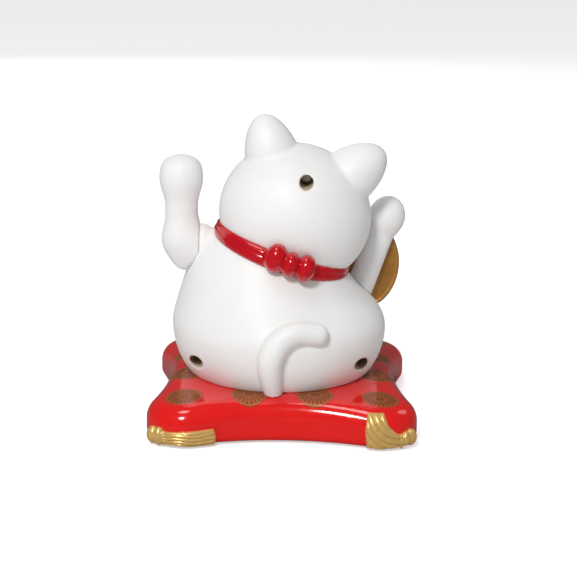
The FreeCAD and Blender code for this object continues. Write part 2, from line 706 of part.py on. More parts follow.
CORNERS = [(across, deep) for across in "+-" for deep in "+-"]
CUSHION_SCREW = "lobe_centre"
BOX_WALL = 1.5
BOX_ENDS = (-30, 28)              # inside ends of the battery box
BOX_HALF = 7.6                    # inside half width of the battery box
BOX_ROOF = 18.6                   # underside of its roof
LEAD_HOLE = (-12, 12)
SWITCH_AT = (0, 32)


def make_cushion_top(skin, inside):
    above = box("above_parting", (-BIG, -BIG, "parting"), (2 * BIG, 2 * BIG, BIG))
    cover = cut("cushion_cover", common("cushion_above", skin, above), inside)
    seat = rod("movement_seat", (0, 0, 22), "z", "seat_radius", "seat_top - 22")
    added = [seat]
    holes = [rod("lead_hole", (*LEAD_HOLE, 10), "z", 3, 20)]
    for index, (across, deep) in enumerate(BODY_SCREWS):
        added.append(rod(f"screw_pad{index}", (across, deep, 19.5), "z", 4.5, 2.8))
        holes.append(rod(f"body_screw_hole{index}", (across, deep, 10), "z", "screw_hole", 20))
    for index, (across, deep) in enumerate(CORNERS):
        spot = (f"0 {across} {CUSHION_SCREW}", f"0 {deep} {CUSHION_SCREW}")
        added.append(rod(f"corner_boss{index}", (*spot, "parting"), "z", BOSS_RADIUS, 11))
        holes.append(rod(f"corner_pilot{index}", (*spot, "parting - 1"), "z", "pilot", 8))
    for index, (across, deep) in enumerate(FRAME_SCREWS):
        holes.append(rod(f"seat_pilot{index}", (across, deep, 10), "z", "pilot", 20))
    node("cushion_top", cut("cushion_top", fuse("cushion_top_solid", cover, *added), *holes))


def make_cushion_base(skin, inside):
    below = box("below_parting", (-BIG, -BIG, 0), (2 * BIG, 2 * BIG, "parting"))
    tray = cut("tray", common("tray_skin", skin, below), inside)
    long = BOX_ENDS[1] - BOX_ENDS[0]
    house = box(
        "battery_house", (BOX_ENDS[0] - BOX_WALL, f"cell_across - {BOX_HALF + BOX_WALL}", "foot_height"),
        (long + 2 * BOX_WALL, 2 * (BOX_HALF + BOX_WALL), BOX_ROOF + BOX_WALL - 1))
    room = box(
        "battery_room", (BOX_ENDS[0], f"cell_across - {BOX_HALF}", 0), (long, 2 * BOX_HALF, BOX_ROOF))
    rebate = box(
        "door_rebate", ("0 - door_half - 0.2", "door_back", 0),
        ("2 * door_half + 0.4", "door_front + 0.2 - door_back", "foot_height + door_thick + 0.15"))
    hinge_block = box(
        "hinge_block", (-36, "door_back - 3.2", "foot_height"), (72, 6, 5))
    rim = box(
        "door_rim", (-36, "door_back", "foot_height"), (72, "door_front + 2.5 - door_back", 4))
    groove = rod(
        "hinge_groove", ("0 - door_half - 0.2", "door_back", "foot_height + knuckle"), "x",
        "knuckle + 0.08", "2 * door_half + 0.4")
    hinge_relief = box(
        "hinge_relief", ("0 - door_half - 0.2", "door_back - 1.9", 0),
        ("2 * door_half + 0.4", 2, "foot_height + 0.9"))
    tab_slots = [
        box(f"tab_slot{index}", (start, "cell_across - 2", 10), (4, 4, 3))
        for index, start in enumerate((BOX_ENDS[0] - 3, BOX_ENDS[1] - 1))
    ]
    switch_slot = box(
        "switch_slot", (SWITCH_AT[0] - 4.1, SWITCH_AT[1] - 1.6, 0), (8.2, 3.2, 5))
    added = [house, hinge_block, rim]
    holes = [room, rebate, groove, hinge_relief, switch_slot, *tab_slots]
    for index, (across, deep) in enumerate(CORNERS):
        spot = (f"0 {across} {CUSHION_SCREW}", f"0 {deep} {CUSHION_SCREW}")
        added.append(rod(f"tray_post{index}", (*spot, "foot_height"), "z", 5, "parting - foot_height"))
        holes.append(rod(f"tray_hole{index}", (*spot, 0), "z", "screw_hole", 20))
        holes.append(rod(f"tray_sink{index}", (*spot, 0), "z", 3.2, 5))
    node("cushion_base", cut("cushion_base", fuse("cushion_base_solid", tray, *added), *holes))


def make_cushion_screws():
    base_screws = [
        screw(f"base_screw{index}",
              (f"0 {across} {CUSHION_SCREW}", f"0 {deep} {CUSHION_SCREW}", 5), "z", -1, 10)
        for index, (across, deep) in enumerate(CORNERS)
    ]
    node("base_screws", group("base_screws", *base_screws))
    body_screws = [
        screw(f"body_screw{index}", (across, deep, 19.5), "z", -1, 12)
        for index, (across, deep) in enumerate(BODY_SCREWS)
    ]
    node("body_screws", group("body_screws", *body_screws))


def make_corner_tassels(skin):
    """Two kinds of tassel, each on two opposite corners: one combed along the side, one fanned up it."""
    raised = cushion_form("tassel_skin", -size("tassel_proud"), "foot_height + 0.3", round_base=False)
    combed_room = box("combed_room", (33, 50, 1.3), (27, 40, 8.2))
    combed = common("combed_skirt", raised, combed_room)
    combed_knots = [
        ball("combed_knot0", (63.5, 63.5, 5.6), 4.2),
        ball("combed_knot1", (59.5, 66.5, 7.6), 3.4),
        ball("combed_knot2", (60.5, 66.5, 3.4), 2.1),
    ]
    first = fuse("combed_tassel", combed, *combed_knots)
    fan_room = box("fan_room", (-58, 40, 1.3), (16, 40, 17))
    fan = common("fan_skirt", raised, fan_room)
    fan_knots = [
        ball("fan_knot0", (-63.5, 63.5, 6.2), 4.4),
        ball("fan_knot1", (-59.5, 66.3, 5.4), 4.2),
    ]
    second = fuse("fan_tassel", fan, *fan_knots)
    tassels = []
    for index, tassel in enumerate((first, second)):
        here = cut(f"tassel{index}", tassel, skin)
        doc.recompute()
        turned = here.Shape.copy()
        turned.rotate(Vector(0, 0, 0), Vector(0, 0, 1), 180)
        tassels += [here, solid_feature(f"tassel_turned{index}", turned)]
    node("corner_tassels", group("corner_tassels", *tassels))


def make_rubber_feet():
    feet = [
        rod(f"rubber_foot{index}", (f"0 {across} foot_reach", f"0 {deep} foot_reach", 0), "z",
            "foot_radius", "foot_height")
        for index, (across, deep) in enumerate(CORNERS)
    ]
    node("rubber_feet", group("rubber_feet", *feet))


# ---------------------------------------------------------------- battery, contacts, door, leads

def make_battery():
    can = rod("cell_can", ("cell_left", "cell_across", "cell_height"), "x", "cell_radius", "cell_length")
    nub = rod("cell_nub", ("cell_left - 1", "cell_across", "cell_height"), "x", 2.75, 1)
    node("battery_cell", fuse("battery_cell", can, nub))

    plus_face = "cell_left - 1 - 0.5"
    plate = box("plus_plate", (plus_face, "cell_across - 5", "cell_height - 5"), (0.5, 10, 10))
    tab = box("plus_tab", (BOX_ENDS[0] - 4, "cell_across - 1.5", 11.2),
              (f"{plus_face} - ({BOX_ENDS[0] - 4}) + 0.2", 3, 0.5))
    node("battery_contact_plus", fuse("battery_contact_plus", plate, tab))

    minus_plate = box(
        "minus_plate", (BOX_ENDS[1] - 0.6, "cell_across - 5", "cell_height - 5"), (0.5, 10, 10))
    minus_tab = box("minus_tab", (BOX_ENDS[1] - 0.4, "cell_across - 1.5", 11.2), (5, 3, 0.5))
    coil_radius = 3.6
    wire = 0.4
    start = size("cell_left") + size("cell_length") + wire + 0.05
    length = BOX_ENDS[1] - 0.6 - start - 0.2
    helix = Part.makeHelix(length / 4, length, coil_radius)
    ring = Part.Wire([Part.makeCircle(wire, Vector(coil_radius, 0, 0), Vector(0, 1, 0))])
    coil = Part.Wire(helix.Edges).makePipeShell([ring], True, True)
    coil.Placement = Placement(
        Vector(start, size("cell_across"), size("cell_height")), ALONG["x"])
    coil_item = solid_feature("spring_coil", coil)
    end_cap = rod("spring_end", (BOX_ENDS[1] - 1.3, "cell_across", "cell_height"), "x", 4.2, 1)
    node("battery_spring", fuse("battery_spring", minus_plate, minus_tab, coil_item, end_cap))


def make_battery_door():
    plate = box("door_plate", ("0 - door_half", "door_back", "foot_height"),
                ("2 * door_half", "door_front - door_back", "door_thick"))
    barrel = rod("door_barrel", ("0 - door_half", "door_back", "foot_height + knuckle"), "x",
                 "knuckle", "2 * door_half")
    notch = rod("door_notch", (0, "door_front + 1", 0), "z", 4.5, 2)
    node("battery_door", cut("battery_door", fuse("door_solid", plate, barrel), notch))


def make_switch():
    across, deep = SWITCH_AT
    case = box("switch_case", (across - 7, deep - 4, "tray_floor"), (14, 8, 5))
    room = box("switch_room", (across - 5.6, deep - 2.6, "tray_floor - 1"), (11.2, 5.2, 4))
    node("power_switch_body", cut("power_switch_body", case, room))
    shoe = box("slider_shoe", (across - 5.3, deep - 2.4, "tray_floor + 0.1"),
               ("10.6 - slide_travel", 4.8, 2.5))
    stem = box("slider_stem", (across - 4, deep - 1.5, 0.4), ("8 - slide_travel", 3, 3.2))
    node("switch_slider", fuse("switch_slider", shoe, stem))


def make_leads():
    lead_radius = 0.6
    red = [(-34.6, -18, 12.6), (-33, -8, 15.5), (-24, 6, 18), (-14.5, 12.4, 19.5), (-13.2, 12.8, 24),
           (-12.6, 13.6, 29), (-8, 14.4, 32), (6, 13.4, 32.5), (19, 12.6, 32.5), (23, 10.8, 32.5),
           (24.2, 8.8, 32.5), (24.25, 6.4, 32.5)]
    black = [(32.6, -18, 12.6), (31, -6, 16), (12, 8, 18.4), (-8.5, 10.8, 19), (-10.9, 11.2, 23),
             (-10.9, 11.4, 29), (-6.5, 11, 34), (6, 11, 35.4), (18, 11.8, 36), (23, 10.8, 36.6),
             (24.3, 8.8, 37), (24.35, 6.8, 37)]
    for name, points in (("lead_red", red), ("lead_black", black)):
        node(name, smooth_tube(name, points, lead_radius))


# ---------------------------------------------------------------- build, check and write

make_rear_shell()
make_front_shell()
make_shell_screws()
make_collar()
make_bell()
make_koban()
make_coin_arm()
make_waving_arm()
make_pivot_shaft()
make_pendulum()
make_movement_frame()
make_pivot_bushes()
make_coil()
make_drive_board()
cushion_skin = cushion_form("cushion_skin", 0, "foot_height", round_base=True)
cushion_inside = cushion_form("cushion_inside", size("cushion_wall"), "tray_floor", round_base=False)
make_cushion_top(cushion_skin, cushion_inside)
make_cushion_base(cushion_skin, cushion_inside)
make_cushion_screws()
make_corner_tassels(cushion_skin)
make_rubber_feet()
make_battery()
make_battery_door()
make_switch()
make_leads()

doc.recompute()
for item in doc.Objects:
    if "Invalid" in item.State or "Error" in item.State:
        raise RuntimeError(f"{item.Label} did not build")
for item in nodes:
    if item.Shape.isNull() or not item.Shape.isValid():
        raise RuntimeError(f"{item.Label} is not a valid shape")

os.makedirs("parts", exist_ok=True)
for item in nodes:
    item.Shape.exportStep(f"parts/{item.Label}.step")
    print(f"{item.Label:22s} solids {len(item.Shape.Solids)}  volume {item.Shape.Volume:10.1f}")
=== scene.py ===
import math

import bmesh
import bpy
import numpy as np
from mathutils import Matrix, Vector


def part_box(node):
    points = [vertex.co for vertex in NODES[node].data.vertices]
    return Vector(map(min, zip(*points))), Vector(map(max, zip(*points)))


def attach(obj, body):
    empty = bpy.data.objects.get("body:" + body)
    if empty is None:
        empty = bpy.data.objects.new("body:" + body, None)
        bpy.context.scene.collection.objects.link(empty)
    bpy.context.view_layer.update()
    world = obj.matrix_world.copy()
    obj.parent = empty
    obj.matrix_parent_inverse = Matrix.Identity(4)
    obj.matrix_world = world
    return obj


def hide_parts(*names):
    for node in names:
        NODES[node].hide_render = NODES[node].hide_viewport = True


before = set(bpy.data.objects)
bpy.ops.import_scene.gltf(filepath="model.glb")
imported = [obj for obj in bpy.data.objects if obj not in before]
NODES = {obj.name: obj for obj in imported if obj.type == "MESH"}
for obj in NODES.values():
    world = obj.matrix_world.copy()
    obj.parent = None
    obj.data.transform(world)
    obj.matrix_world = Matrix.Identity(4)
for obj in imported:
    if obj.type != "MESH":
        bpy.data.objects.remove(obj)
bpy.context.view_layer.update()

# Beckoning cat figurine: fields and curves are in millimetres, meshes are made in metres.
MM = 0.001
FINE = 1.0


def cad_box(node):
    """Lowest and highest corner of a CAD node, in millimetres."""
    low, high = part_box(node)
    return np.array(low) / MM, np.array(high) / MM


SHELL_LOW, SHELL_HIGH = cad_box("rear_shell")
COIN_LOW, COIN_HIGH = cad_box("koban")
BELL_LOW, BELL_HIGH = cad_box("bell")
ARM_LOW, _ = cad_box("waving_arm_rear")

CAT_MIDDLE = (SHELL_LOW[0] + SHELL_HIGH[0]) / 2   # mid-plane of the body, across the cushion
CROWN = 25.0                   # top of the cushion at its centre
CROWN_BALL = 600.0             # radius of the sphere that crowns it
HEAD = np.array((-5.5, 0.0, 105.5))
HEAD_LEAN = -18.0              # degrees towards +X
PIVOT_UP = 86.0                # height of the waving arm's axis
SHOULDER = ARM_LOW[0] - 0.08   # the body's flat beside the waving arm
SCREW_SEAT = 10.0              # how far back the bottoms of the access holes lie
ACCESS = ((CAT_MIDDLE + 42.3, 34.0), (CAT_MIDDLE - 42.3, 34.0), (-10.7, 127.2))
ACCESS_RADIUS = 3.5
BODY_WALL, ARM_WALL = 1.95, 1.7
BODY_CELL, LIMB_CELL, COLLAR_CELL, COIN_CELL, TASSEL_CELL, BELL_CELL = 0.75, 0.6, 0.5, 0.42, 0.36, 0.26


# ---------------------------------------------------------------- fields: signed distance in millimetres

def length(v):
    return np.sqrt(np.einsum("ij,ij->i", v, v))


def turned(p, centre, lean):
    """Points in a frame at centre whose Z axis leans towards +X by lean degrees."""
    q = p - np.asarray(centre, float)
    if not lean:
        return q
    c, s = math.cos(math.radians(lean)), math.sin(math.radians(lean))
    return np.stack((q[:, 0] * c - q[:, 2] * s, q[:, 1], q[:, 0] * s + q[:, 2] * c), 1)


def ellipsoid(p, centre, radii, lean=0.0):
    """Close to the distance from an ellipsoid that leans towards +X."""
    q = turned(p, centre, lean)
    r = np.asarray(radii, float)
    near = length(q / r)
    far = length(q / (r * r))
    return near * (near - 1) / np.maximum(far, 1e-9)


def bun(p):
    """The round lower body: flatter above its widest ring than below it."""
    q = p - np.array((CAT_MIDDLE, 0, 46.0))
    up = np.where(q[:, 2] > 0, 29.5, 45.0)
    r = np.stack((np.full(len(p), 56.2), np.full(len(p), 56.2), up), 1)
    near = length(q / r)
    far = length(q / (r * r))
    return near * (near - 1) / np.maximum(far, 1e-9)


def bone(p, start, end, start_radius, end_radius):
    """A rod with round ends whose radius changes evenly along it."""
    a, b = np.asarray(start, float), np.asarray(end, float)
    along = b - a
    t = np.clip((p - a) @ along / (along @ along), 0, 1)
    return length(p - a - t[:, None] * along) - (start_radius + t * (end_radius - start_radius))


def rod_x(p, across, up, radius, low, high):
    """A flat-ended rod along X."""
    round_part = np.hypot(p[:, 1] - across, p[:, 2] - up) - radius
    return np.maximum(round_part, np.maximum(low - p[:, 0], p[:, 0] - high))


def rod_y(p, across, up, radius, low):
    """A rod along Y that starts at low and has no far end."""
    return np.maximum(np.hypot(p[:, 0] - across, p[:, 2] - up) - radius, low - p[:, 1])


def ring(p, centre, big, small, lean):
    """A torus round the leaning Z axis."""
    q = turned(p, centre, lean)
    return np.hypot(np.hypot(q[:, 0], q[:, 1]) - big, q[:, 2]) - small


def join(a, b, soft):
    """Both forms, with a fillet of width soft between them."""
    h = np.maximum(soft - np.abs(a - b), 0) / soft
    return np.minimum(a, b) - h * h * soft / 4


def trim(a, tool, soft):
    """a without tool, with a rounded rim."""
    return -join(-a, tool, soft)


def within(a, limit, soft):
    """The part of a inside limit, with a rounded edge."""
    return -join(-a, -limit, soft)


def crown_height(p):
    """Height of the cushion's crowned top."""
    return CROWN - (p[:, 0] ** 2 + p[:, 1] ** 2) / (2 * CROWN_BALL)


def smooth_path(points, count):
    """Evenly spread points on a Catmull-Rom curve through points."""
    pts = np.array([points[0], *points, points[-1]], float)
    out = []
    for i in range(1, len(pts) - 2):
        for t in np.linspace(0, 1, 24, endpoint=False):
            a, b, c, d = pts[i - 1:i + 3]
            out.append(0.5 * (2 * b + (c - a) * t + (2 * a - 5 * b + 4 * c - d) * t ** 2
                              + (3 * b - a - 3 * c + d) * t ** 3))
    out.append(pts[-2])
    out = np.array(out)
    run = np.concatenate(([0], np.cumsum(length(np.diff(out, axis=0)))))
    at = np.linspace(0, run[-1], count)
    return np.stack([np.interp(at, run, out[:, k]) for k in range(out.shape[1])], 1)


TAIL = smooth_path([(4.0, 47.8, 20, 4.2), (5.9, 54.2, 33, 5.7), (6.4, 56.8, 41, 6.4), (4.6, 56.8, 47.5, 6.5),
                    (0, 55.2, 53, 6.3), (-7.5, 53.4, 56.2, 6.0), (-17, 51.2, 55.0, 5.7)], 30)


def tail(p):
    """The tail along its path, whose fourth column is its radius."""
    found = np.full(len(p), 1e3)
    near = (p[:, 1] > 30) & (p[:, 2] < 75)
    if near.any():
        q = p[near]
        best = np.full(len(q), 1e3)
        for a, b in zip(TAIL[:-1], TAIL[1:]):
            best = np.minimum(best, bone(q, a[:3], b[:3], a[3], b[3]))
        found[near] = best
    return found


EARS = ((22.5, 15.0, 31.0, 14.2), (-53.5, -52.5, 32.8, 14.8))
EAR_FRONT, EAR_BACK = 10, 16.5        # depth before and behind the seam
EAR_LONG = 24


def ear(p, side, lean, reach, wide):
    """One ear: where it sits on the head, how it leans, how far out its middle is and its half width."""
    s, c = math.sin(math.radians(side)), math.cos(math.radians(side))
    centre = HEAD + reach * np.array((s, 0, c))
    q = turned(p, centre, lean)
    q[:, 0] *= 1 + 0.005 * np.maximum(q[:, 2] - 6, 0)
    q[:, 1] *= np.where(q[:, 1] > 0, EAR_FRONT / EAR_BACK, 1)
    whole = ellipsoid(q, (0, 0, 0), (wide, EAR_FRONT, EAR_LONG))
    hollow = ellipsoid(p, centre + np.array((1.5 * s, -12.5, 1.5 * c)), (9.5, 8.5, 17.5), lean)
    return trim(whole, hollow, 1.6)


def head_point(across, up, out=0.0):
    """A place on the face, across and up in the leaning head's own frame."""
    s, c = math.sin(math.radians(HEAD_LEAN)), math.cos(math.radians(HEAD_LEAN))
    return HEAD + np.array((across * c + up * s, out, -across * s + up * c))


def cat(p):
    """Body, head, ears, tail and hind feet, without holes."""
    torso = join(bun(p), ellipsoid(p, (10, 0, 66), (42.3, 40, 37.2)), 15)
    head = ellipsoid(p, HEAD, (40, 37, 37), HEAD_LEAN)
    for side in (-1, 1):
        cheek = ellipsoid(p, head_point(side * 6.3 + 1.2, -7.0, -33.2), (8.6, 7, 6.4), HEAD_LEAN)
        head = join(head, cheek, 3)
    for one in EARS:
        head = join(head, ear(p, *one), 1.3)
    for side in (-1, 1):
        foot = ellipsoid(p, (CAT_MIDDLE + side * 25, -46, 31), (12, 14, 9.5))
        torso = join(torso, foot, 3)
    torso = join(torso, tail(p), 0.9)
    stub = rod_x(p, 0, PIVOT_UP, 8.6, 20, SHOULDER)
    flare = rod_x(p, 0, PIVOT_UP, 10, SHOULDER - 1.6, SHOULDER)
    torso = join(torso, join(stub, flare, 4), 3)
    rise = bone(p, (SHOULDER - 9, 0, 87), (SHOULDER - 0.6, 0, 94.5), 6.5, 4.6)
    torso = join(torso, rise, 6)
    return join(torso, head, 2.5)


def cups(p):
    """The three screw access holes."""
    return np.minimum.reduce([rod_y(p, x, z, ACCESS_RADIUS, SCREW_SEAT) for x, z in ACCESS])


def shell(p):
    """The cat with its access holes, the arm's recess and its seat on the cushion."""
    whole = cat(p)
    whole = trim(whole, cups(p), 0.9)
    room = 10.6 + 0.28 * np.clip(p[:, 0] - SHOULDER, 0, 8) + 9 * np.clip((p[:, 2] - 88) / 6, 0, 1)
    recess = np.maximum(np.hypot(p[:, 1], p[:, 2] - PIVOT_UP) - room, SHOULDER - p[:, 0])
    whole = trim(whole, recess, 0.6)
    return np.maximum(whole, crown_height(p) + 0.1 - p[:, 2])


def arm(p):
    """The waving arm: shoulder, forearm and paw, flat towards the body."""
    upper = ellipsoid(p, (53.4, 0, 89.6), (9.2, 9.6, 10.4))
    tip = ellipsoid(p, (52.2, 0, 79.7), (5.0, 5.4, 5.0))
    shoulder = join(upper, tip, 7)
    shoulder = join(shoulder, ellipsoid(p, (46, 0, PIVOT_UP), (7.5, 9.9, 9.9)), 5)
    fore = bone(p, (53.7, 0, 93), (53.9, -1, 119), 8.75, 8.35)
    whole = join(shoulder, fore, 8)
    paw = ellipsoid(p, (54.1, -3, 124.8), (11.3, 12.5, 13.4))
    paw = within(paw, p[:, 2] - 136.1, 7)
    whole = join(whole, paw, 6)
    for across in (-3.7, 3.7):
        crease = bone(p, (54.1 + across, -17.5, 119), (54.1 + across, -15.6, 130), 0.8, 0.8)
        whole = trim(whole, crease, 1.2)
    face = ARM_LOW[0] - 2.5 * np.clip((p[:, 2] - 100) / 12, 0, 1)
    return within(whole, face - p[:, 0], 0.7)


def coin_arm(p):
    """The arm behind the coin, cut to the coin and to the body."""
    fore = bone(p, (-39.4, -14, 58), (-54.2, -17, 99), 7.3, 6.9)
    paw = ellipsoid(p, (-54.4, -17.5, 100.5), (9.9, 10.5, 11.7), -19)
    whole = join(fore, paw, 2.2)
    for across in (-3.0, 3.0):
        crease = bone(p, (-54.2 + across, -29, 95), (-56 + across, -26.6, 106), 0.7, 0.7)
        whole = trim(whole, crease, 1.0)
    coin_room = np.maximum(COIN_LOW[1] - 0.1 - p[:, 1], p[:, 1] - COIN_HIGH[1] - 0.1)
    coin_room = np.maximum(coin_room, coin_oval(p) - 0.1)
    whole = np.maximum(whole, -coin_room)
    return np.maximum(whole, 0.08 - cat(p))


def coin_oval(p):
    """Distance across the coin's face to its oval edge."""
    q = turned(p, ((COIN_LOW[0] + COIN_HIGH[0]) / 2, 0, (COIN_LOW[2] + COIN_HIGH[2]) / 2), -9.3)
    near = np.hypot(q[:, 0] / 13.9, q[:, 2] / 21.4)
    far = np.hypot(q[:, 0] / 13.9 ** 2, q[:, 2] / 21.4 ** 2)
    return near * (near - 1) / np.maximum(far, 1e-9)


def koban(p):
    """The coin: a raised rim and a hatched face."""
    edge = coin_oval(p)
    middle = (COIN_LOW[1] + COIN_HIGH[1]) / 2
    half = (COIN_HIGH[1] - COIN_LOW[1]) / 2
    rim = np.clip((-edge - 1.5) / 0.6, 0, 1)
    q = turned(p, ((COIN_LOW[0] + COIN_HIGH[0]) / 2, 0, (COIN_LOW[2] + COIN_HIGH[2]) / 2), -9.3)
    hatch = 0.16 * np.clip((-edge - 3) / 1.5, 0, 1) * np.sin(q[:, 2] * 2 * math.pi / 2.4)
    hatch *= np.where(p[:, 1] < middle, 1, 0.1)
    thick = np.abs(p[:, 1] - middle) - (half - 0.45 * rim + hatch * rim)
    u, v = edge + 0.8, thick + 0.8
    return np.minimum(np.maximum(u, v), 0) + np.hypot(np.maximum(u, 0), np.maximum(v, 0)) - 0.8


COLLAR = np.array((1.2, 0, 86.5))
COLLAR_RING = 31.4
COLLAR_LEAN = -18.7
KNOTS = (((4.1, 36.6, 90.2), (5.9, 6.4, 7.5)), ((-3.2, 37.6, 87.3), (4.7, 6.4, 6.5)),
         ((-10.7, 36.5, 85.0), (5.2, 6.4, 7.1)))


def collar(p):
    """The collar's band with one groove, and the knot's three lobes."""
    q = turned(p, COLLAR, COLLAR_LEAN)
    out = np.hypot(q[:, 0], q[:, 1]) - COLLAR_RING
    band = (np.abs(out / 5.9) ** 2.4 + np.abs(q[:, 2] / 5.5) ** 2.4) ** (1 / 2.4) * 5.6 - 5.6
    groove = 0.45 * np.exp(-((q[:, 2] - 1.1) / 0.8) ** 2) * (out > 0)
    band = (band + groove) * 0.9
    knots = np.full(len(p), 1e3)
    for centre, radii in KNOTS:
        knots = join(knots, ellipsoid(p, centre, radii, COLLAR_LEAN), 0.8)
    return join(band, knots, 1.0)


def collar_clear(p):
    """The part of the collar that stands clear of the cat."""
    return np.maximum(collar(p), 0.06 - cat(p))


BELL = (2.5, -44, 79)


def bell(p):
    """A hollow round bell with a belt, a slit with two round ends and a loop."""
    ball = ellipsoid(p, BELL, (5.5, 5.5, 5.5))
    belt = ring(p, BELL, 5.35, 0.55, 0)
    whole = join(np.maximum(ball, -(ball + 0.9)), belt, 0.3)
    q = p - np.array(BELL)
    slit = np.maximum(np.abs(q[:, 1]) - 0.55, np.maximum(q[:, 2] + 1.6, np.abs(q[:, 0]) - 4.6))
    holes = np.minimum(*[length(q - np.array((x, 0, -3.1))) - 1.1 for x in (-4.2, 4.2)])
    whole = np.maximum(whole, -np.minimum(slit, holes))
    loop = bone(p, (BELL[0], -44, 84.6), (BELL[0], -36, 86.6), 0.95, 0.95)
    whole = join(whole, loop, 0.5)
    return np.maximum(whole, 0.05 - np.minimum(cat(p), collar(p)))


# ---------------------------------------------------------------- the cushion's skin and its tassels

LOBE, LOBE_RADIUS = 48.5, 20.0
WAIST_FAR, WAIST_RADIUS = 191.5, 131.0


def outline(x, y):
    """Distance from the cushion's outline, seen from above."""
    a, b = np.maximum(np.abs(x), np.abs(y)), np.minimum(np.abs(x), np.abs(y))
    at_side = b * (WAIST_FAR - LOBE) < LOBE * (WAIST_FAR - a)
    side = WAIST_RADIUS - np.hypot(WAIST_FAR - a, b)
    lobe = np.hypot(a - LOBE, b - LOBE) - LOBE_RADIUS
    return np.where(at_side, side, lobe)


def cushion(p):
    """The cushion's skin, rounded at its upper and lower edges."""
    flat = outline(p[:, 0], p[:, 1])
    top = p[:, 2] - crown_height(p)
    u, v = flat + 10, top + 10
    upper = np.minimum(np.maximum(u, v), 0) + np.hypot(np.maximum(u, 0), np.maximum(v, 0)) - 10
    u, v = flat + 4, 1 - p[:, 2] + 4
    lower = np.minimum(np.maximum(u, v), 0) + np.hypot(np.maximum(u, 0), np.maximum(v, 0)) - 4
    return np.maximum(upper, lower)


def furrow(t):
    """Strands side by side: 0 on top of a strand, 1 in the groove, one strand per unit of t."""
    return 1 - np.sqrt(np.clip(1 - (2 * (t - np.floor(t)) - 1) ** 2, 0, 1))


def polygon(x, z, corners):
    """Signed distance to a polygon."""
    best = np.full(len(x), 1e9)
    inside = np.zeros(len(x), bool)
    for (ax, az), (bx, bz) in zip(corners, corners[1:] + corners[:1]):
        ex, ez = bx - ax, bz - az
        t = np.clip(((x - ax) * ex + (z - az) * ez) / (ex * ex + ez * ez), 0, 1)
        best = np.minimum(best, np.hypot(x - ax - t * ex, z - az - t * ez))
        inside ^= ((az > z) != (bz > z)) & (x < (bx - ax) * (z - az) / (bz - az + 1e-12) + ax)
    return np.where(inside, -best, best)


COMBED = [(33.4, 1.2), (45, 1.0), (59.5, 1.6), (60.2, 4.4), (58.8, 8.4), (45, 9.3), (33.6, 9.7), (32.5, 5)]
FAN = [(-59.8, 7.6), (-56.5, 9.6), (-53, 13), (-50.5, 18.6), (-42.4, 18.6), (-41.2, 11),
       (-42.2, 1.6), (-50, 1.1), (-59.8, 1.9)]


def combed_tassel(p):
    """Strands combed along the cushion's side from a knot on the corner."""
    skin = cushion(p)
    x, z = p[:, 0], p[:, 2]
    region = polygon(x, z, COMBED)
    spread = 3.1 + (60 - np.clip(x, 30, 60)) * 0.05
    wave = 0.35 * np.sin(x * 0.33)
    grooves = furrow((z - 5.0 + wave) / spread * 2.1 + 0.35)
    proud = 2.6 - 0.95 * grooves
    skirt = trim(skin - proud, -region, 1.6)
    skirt = np.maximum(skirt, 45 - p[:, 1])
    knot = ellipsoid(p, (64.0, 62.6, 5.5), (3.4, 3.6, 4.5))
    knot = join(knot, ellipsoid(p, (61.0, 65.4, 5.7), (2.9, 3.2, 4.7)), 0.5)
    knot = join(knot, ellipsoid(p, (58.9, 66.8, 5.2), (1.5, 2.0, 3.7)), 0.4)
    return np.maximum(join(skirt, knot, 0.7), 0.05 - skin)


def fan_tassel(p):
    """Strands that sweep from a knot on the corner up over the cushion's edge."""
    skin = cushion(p)
    x, z = p[:, 0], p[:, 2]
    region = polygon(x, z, FAN)
    sweep = np.hypot(x + 60.5, (z - 21.5) * 1.05)
    grooves = furrow(sweep / 3.3 + 0.2)
    proud = 2.6 - 0.95 * grooves
    skirt = trim(skin - proud, -region, 1.6)
    skirt = np.maximum(skirt, 35 - p[:, 1])
    knot = ellipsoid(p, (-64.1, 62.6, 5.9), (3.3, 3.5, 4.3))
    knot = join(knot, ellipsoid(p, (-61.6, 65.2, 5.9), (2.6, 3.0, 3.7)), 0.5)
    knot = join(knot, ellipsoid(p, (-59.5, 66.6, 5.0), (1.3, 1.9, 3.9)), 0.4)
    return np.maximum(join(skirt, knot, 0.7), 0.05 - skin)


# ---------------------------------------------------------------- meshes from fields

def sampled(field, low, high, step):
    """Field values on a grid, worked out only near the surface."""
    block = 6
    blocks = np.maximum(np.ceil((high - low) / (step * block)).astype(int), 1)
    axes = [low[a] + (np.arange(blocks[a]) + 0.5) * block * step for a in range(3)]
    coarse = field(np.stack(np.meshgrid(*axes, indexing="ij"), -1).reshape(-1, 3))
    signs = np.where(coarse < 0, -1e3, 1e3).reshape(blocks)
    for a in range(3):
        signs = np.repeat(signs, block, a)
    values = np.pad(signs, ((0, 1),) * 3, mode="edge")
    near = np.argwhere((np.abs(coarse) < block * step * 1.25 + 1).reshape(blocks)) * block
    local = np.stack(np.meshgrid(*[np.arange(block + 1)] * 3, indexing="ij"), -1).reshape(-1, 3)
    for i in range(0, len(near), 1500):
        at = (near[i:i + 1500, None, :] + local[None]).reshape(-1, 3)
        values[at[:, 0], at[:, 1], at[:, 2]] = field(low + at * step)
    return values


def slope(field, p, reach=0.02):
    """How a field changes along each axis."""
    g = np.empty_like(p)
    for a in range(3):
        move = np.zeros(3)
        move[a] = reach
        g[:, a] = (field(p + move) - field(p - move)) / (2 * reach)
    return g


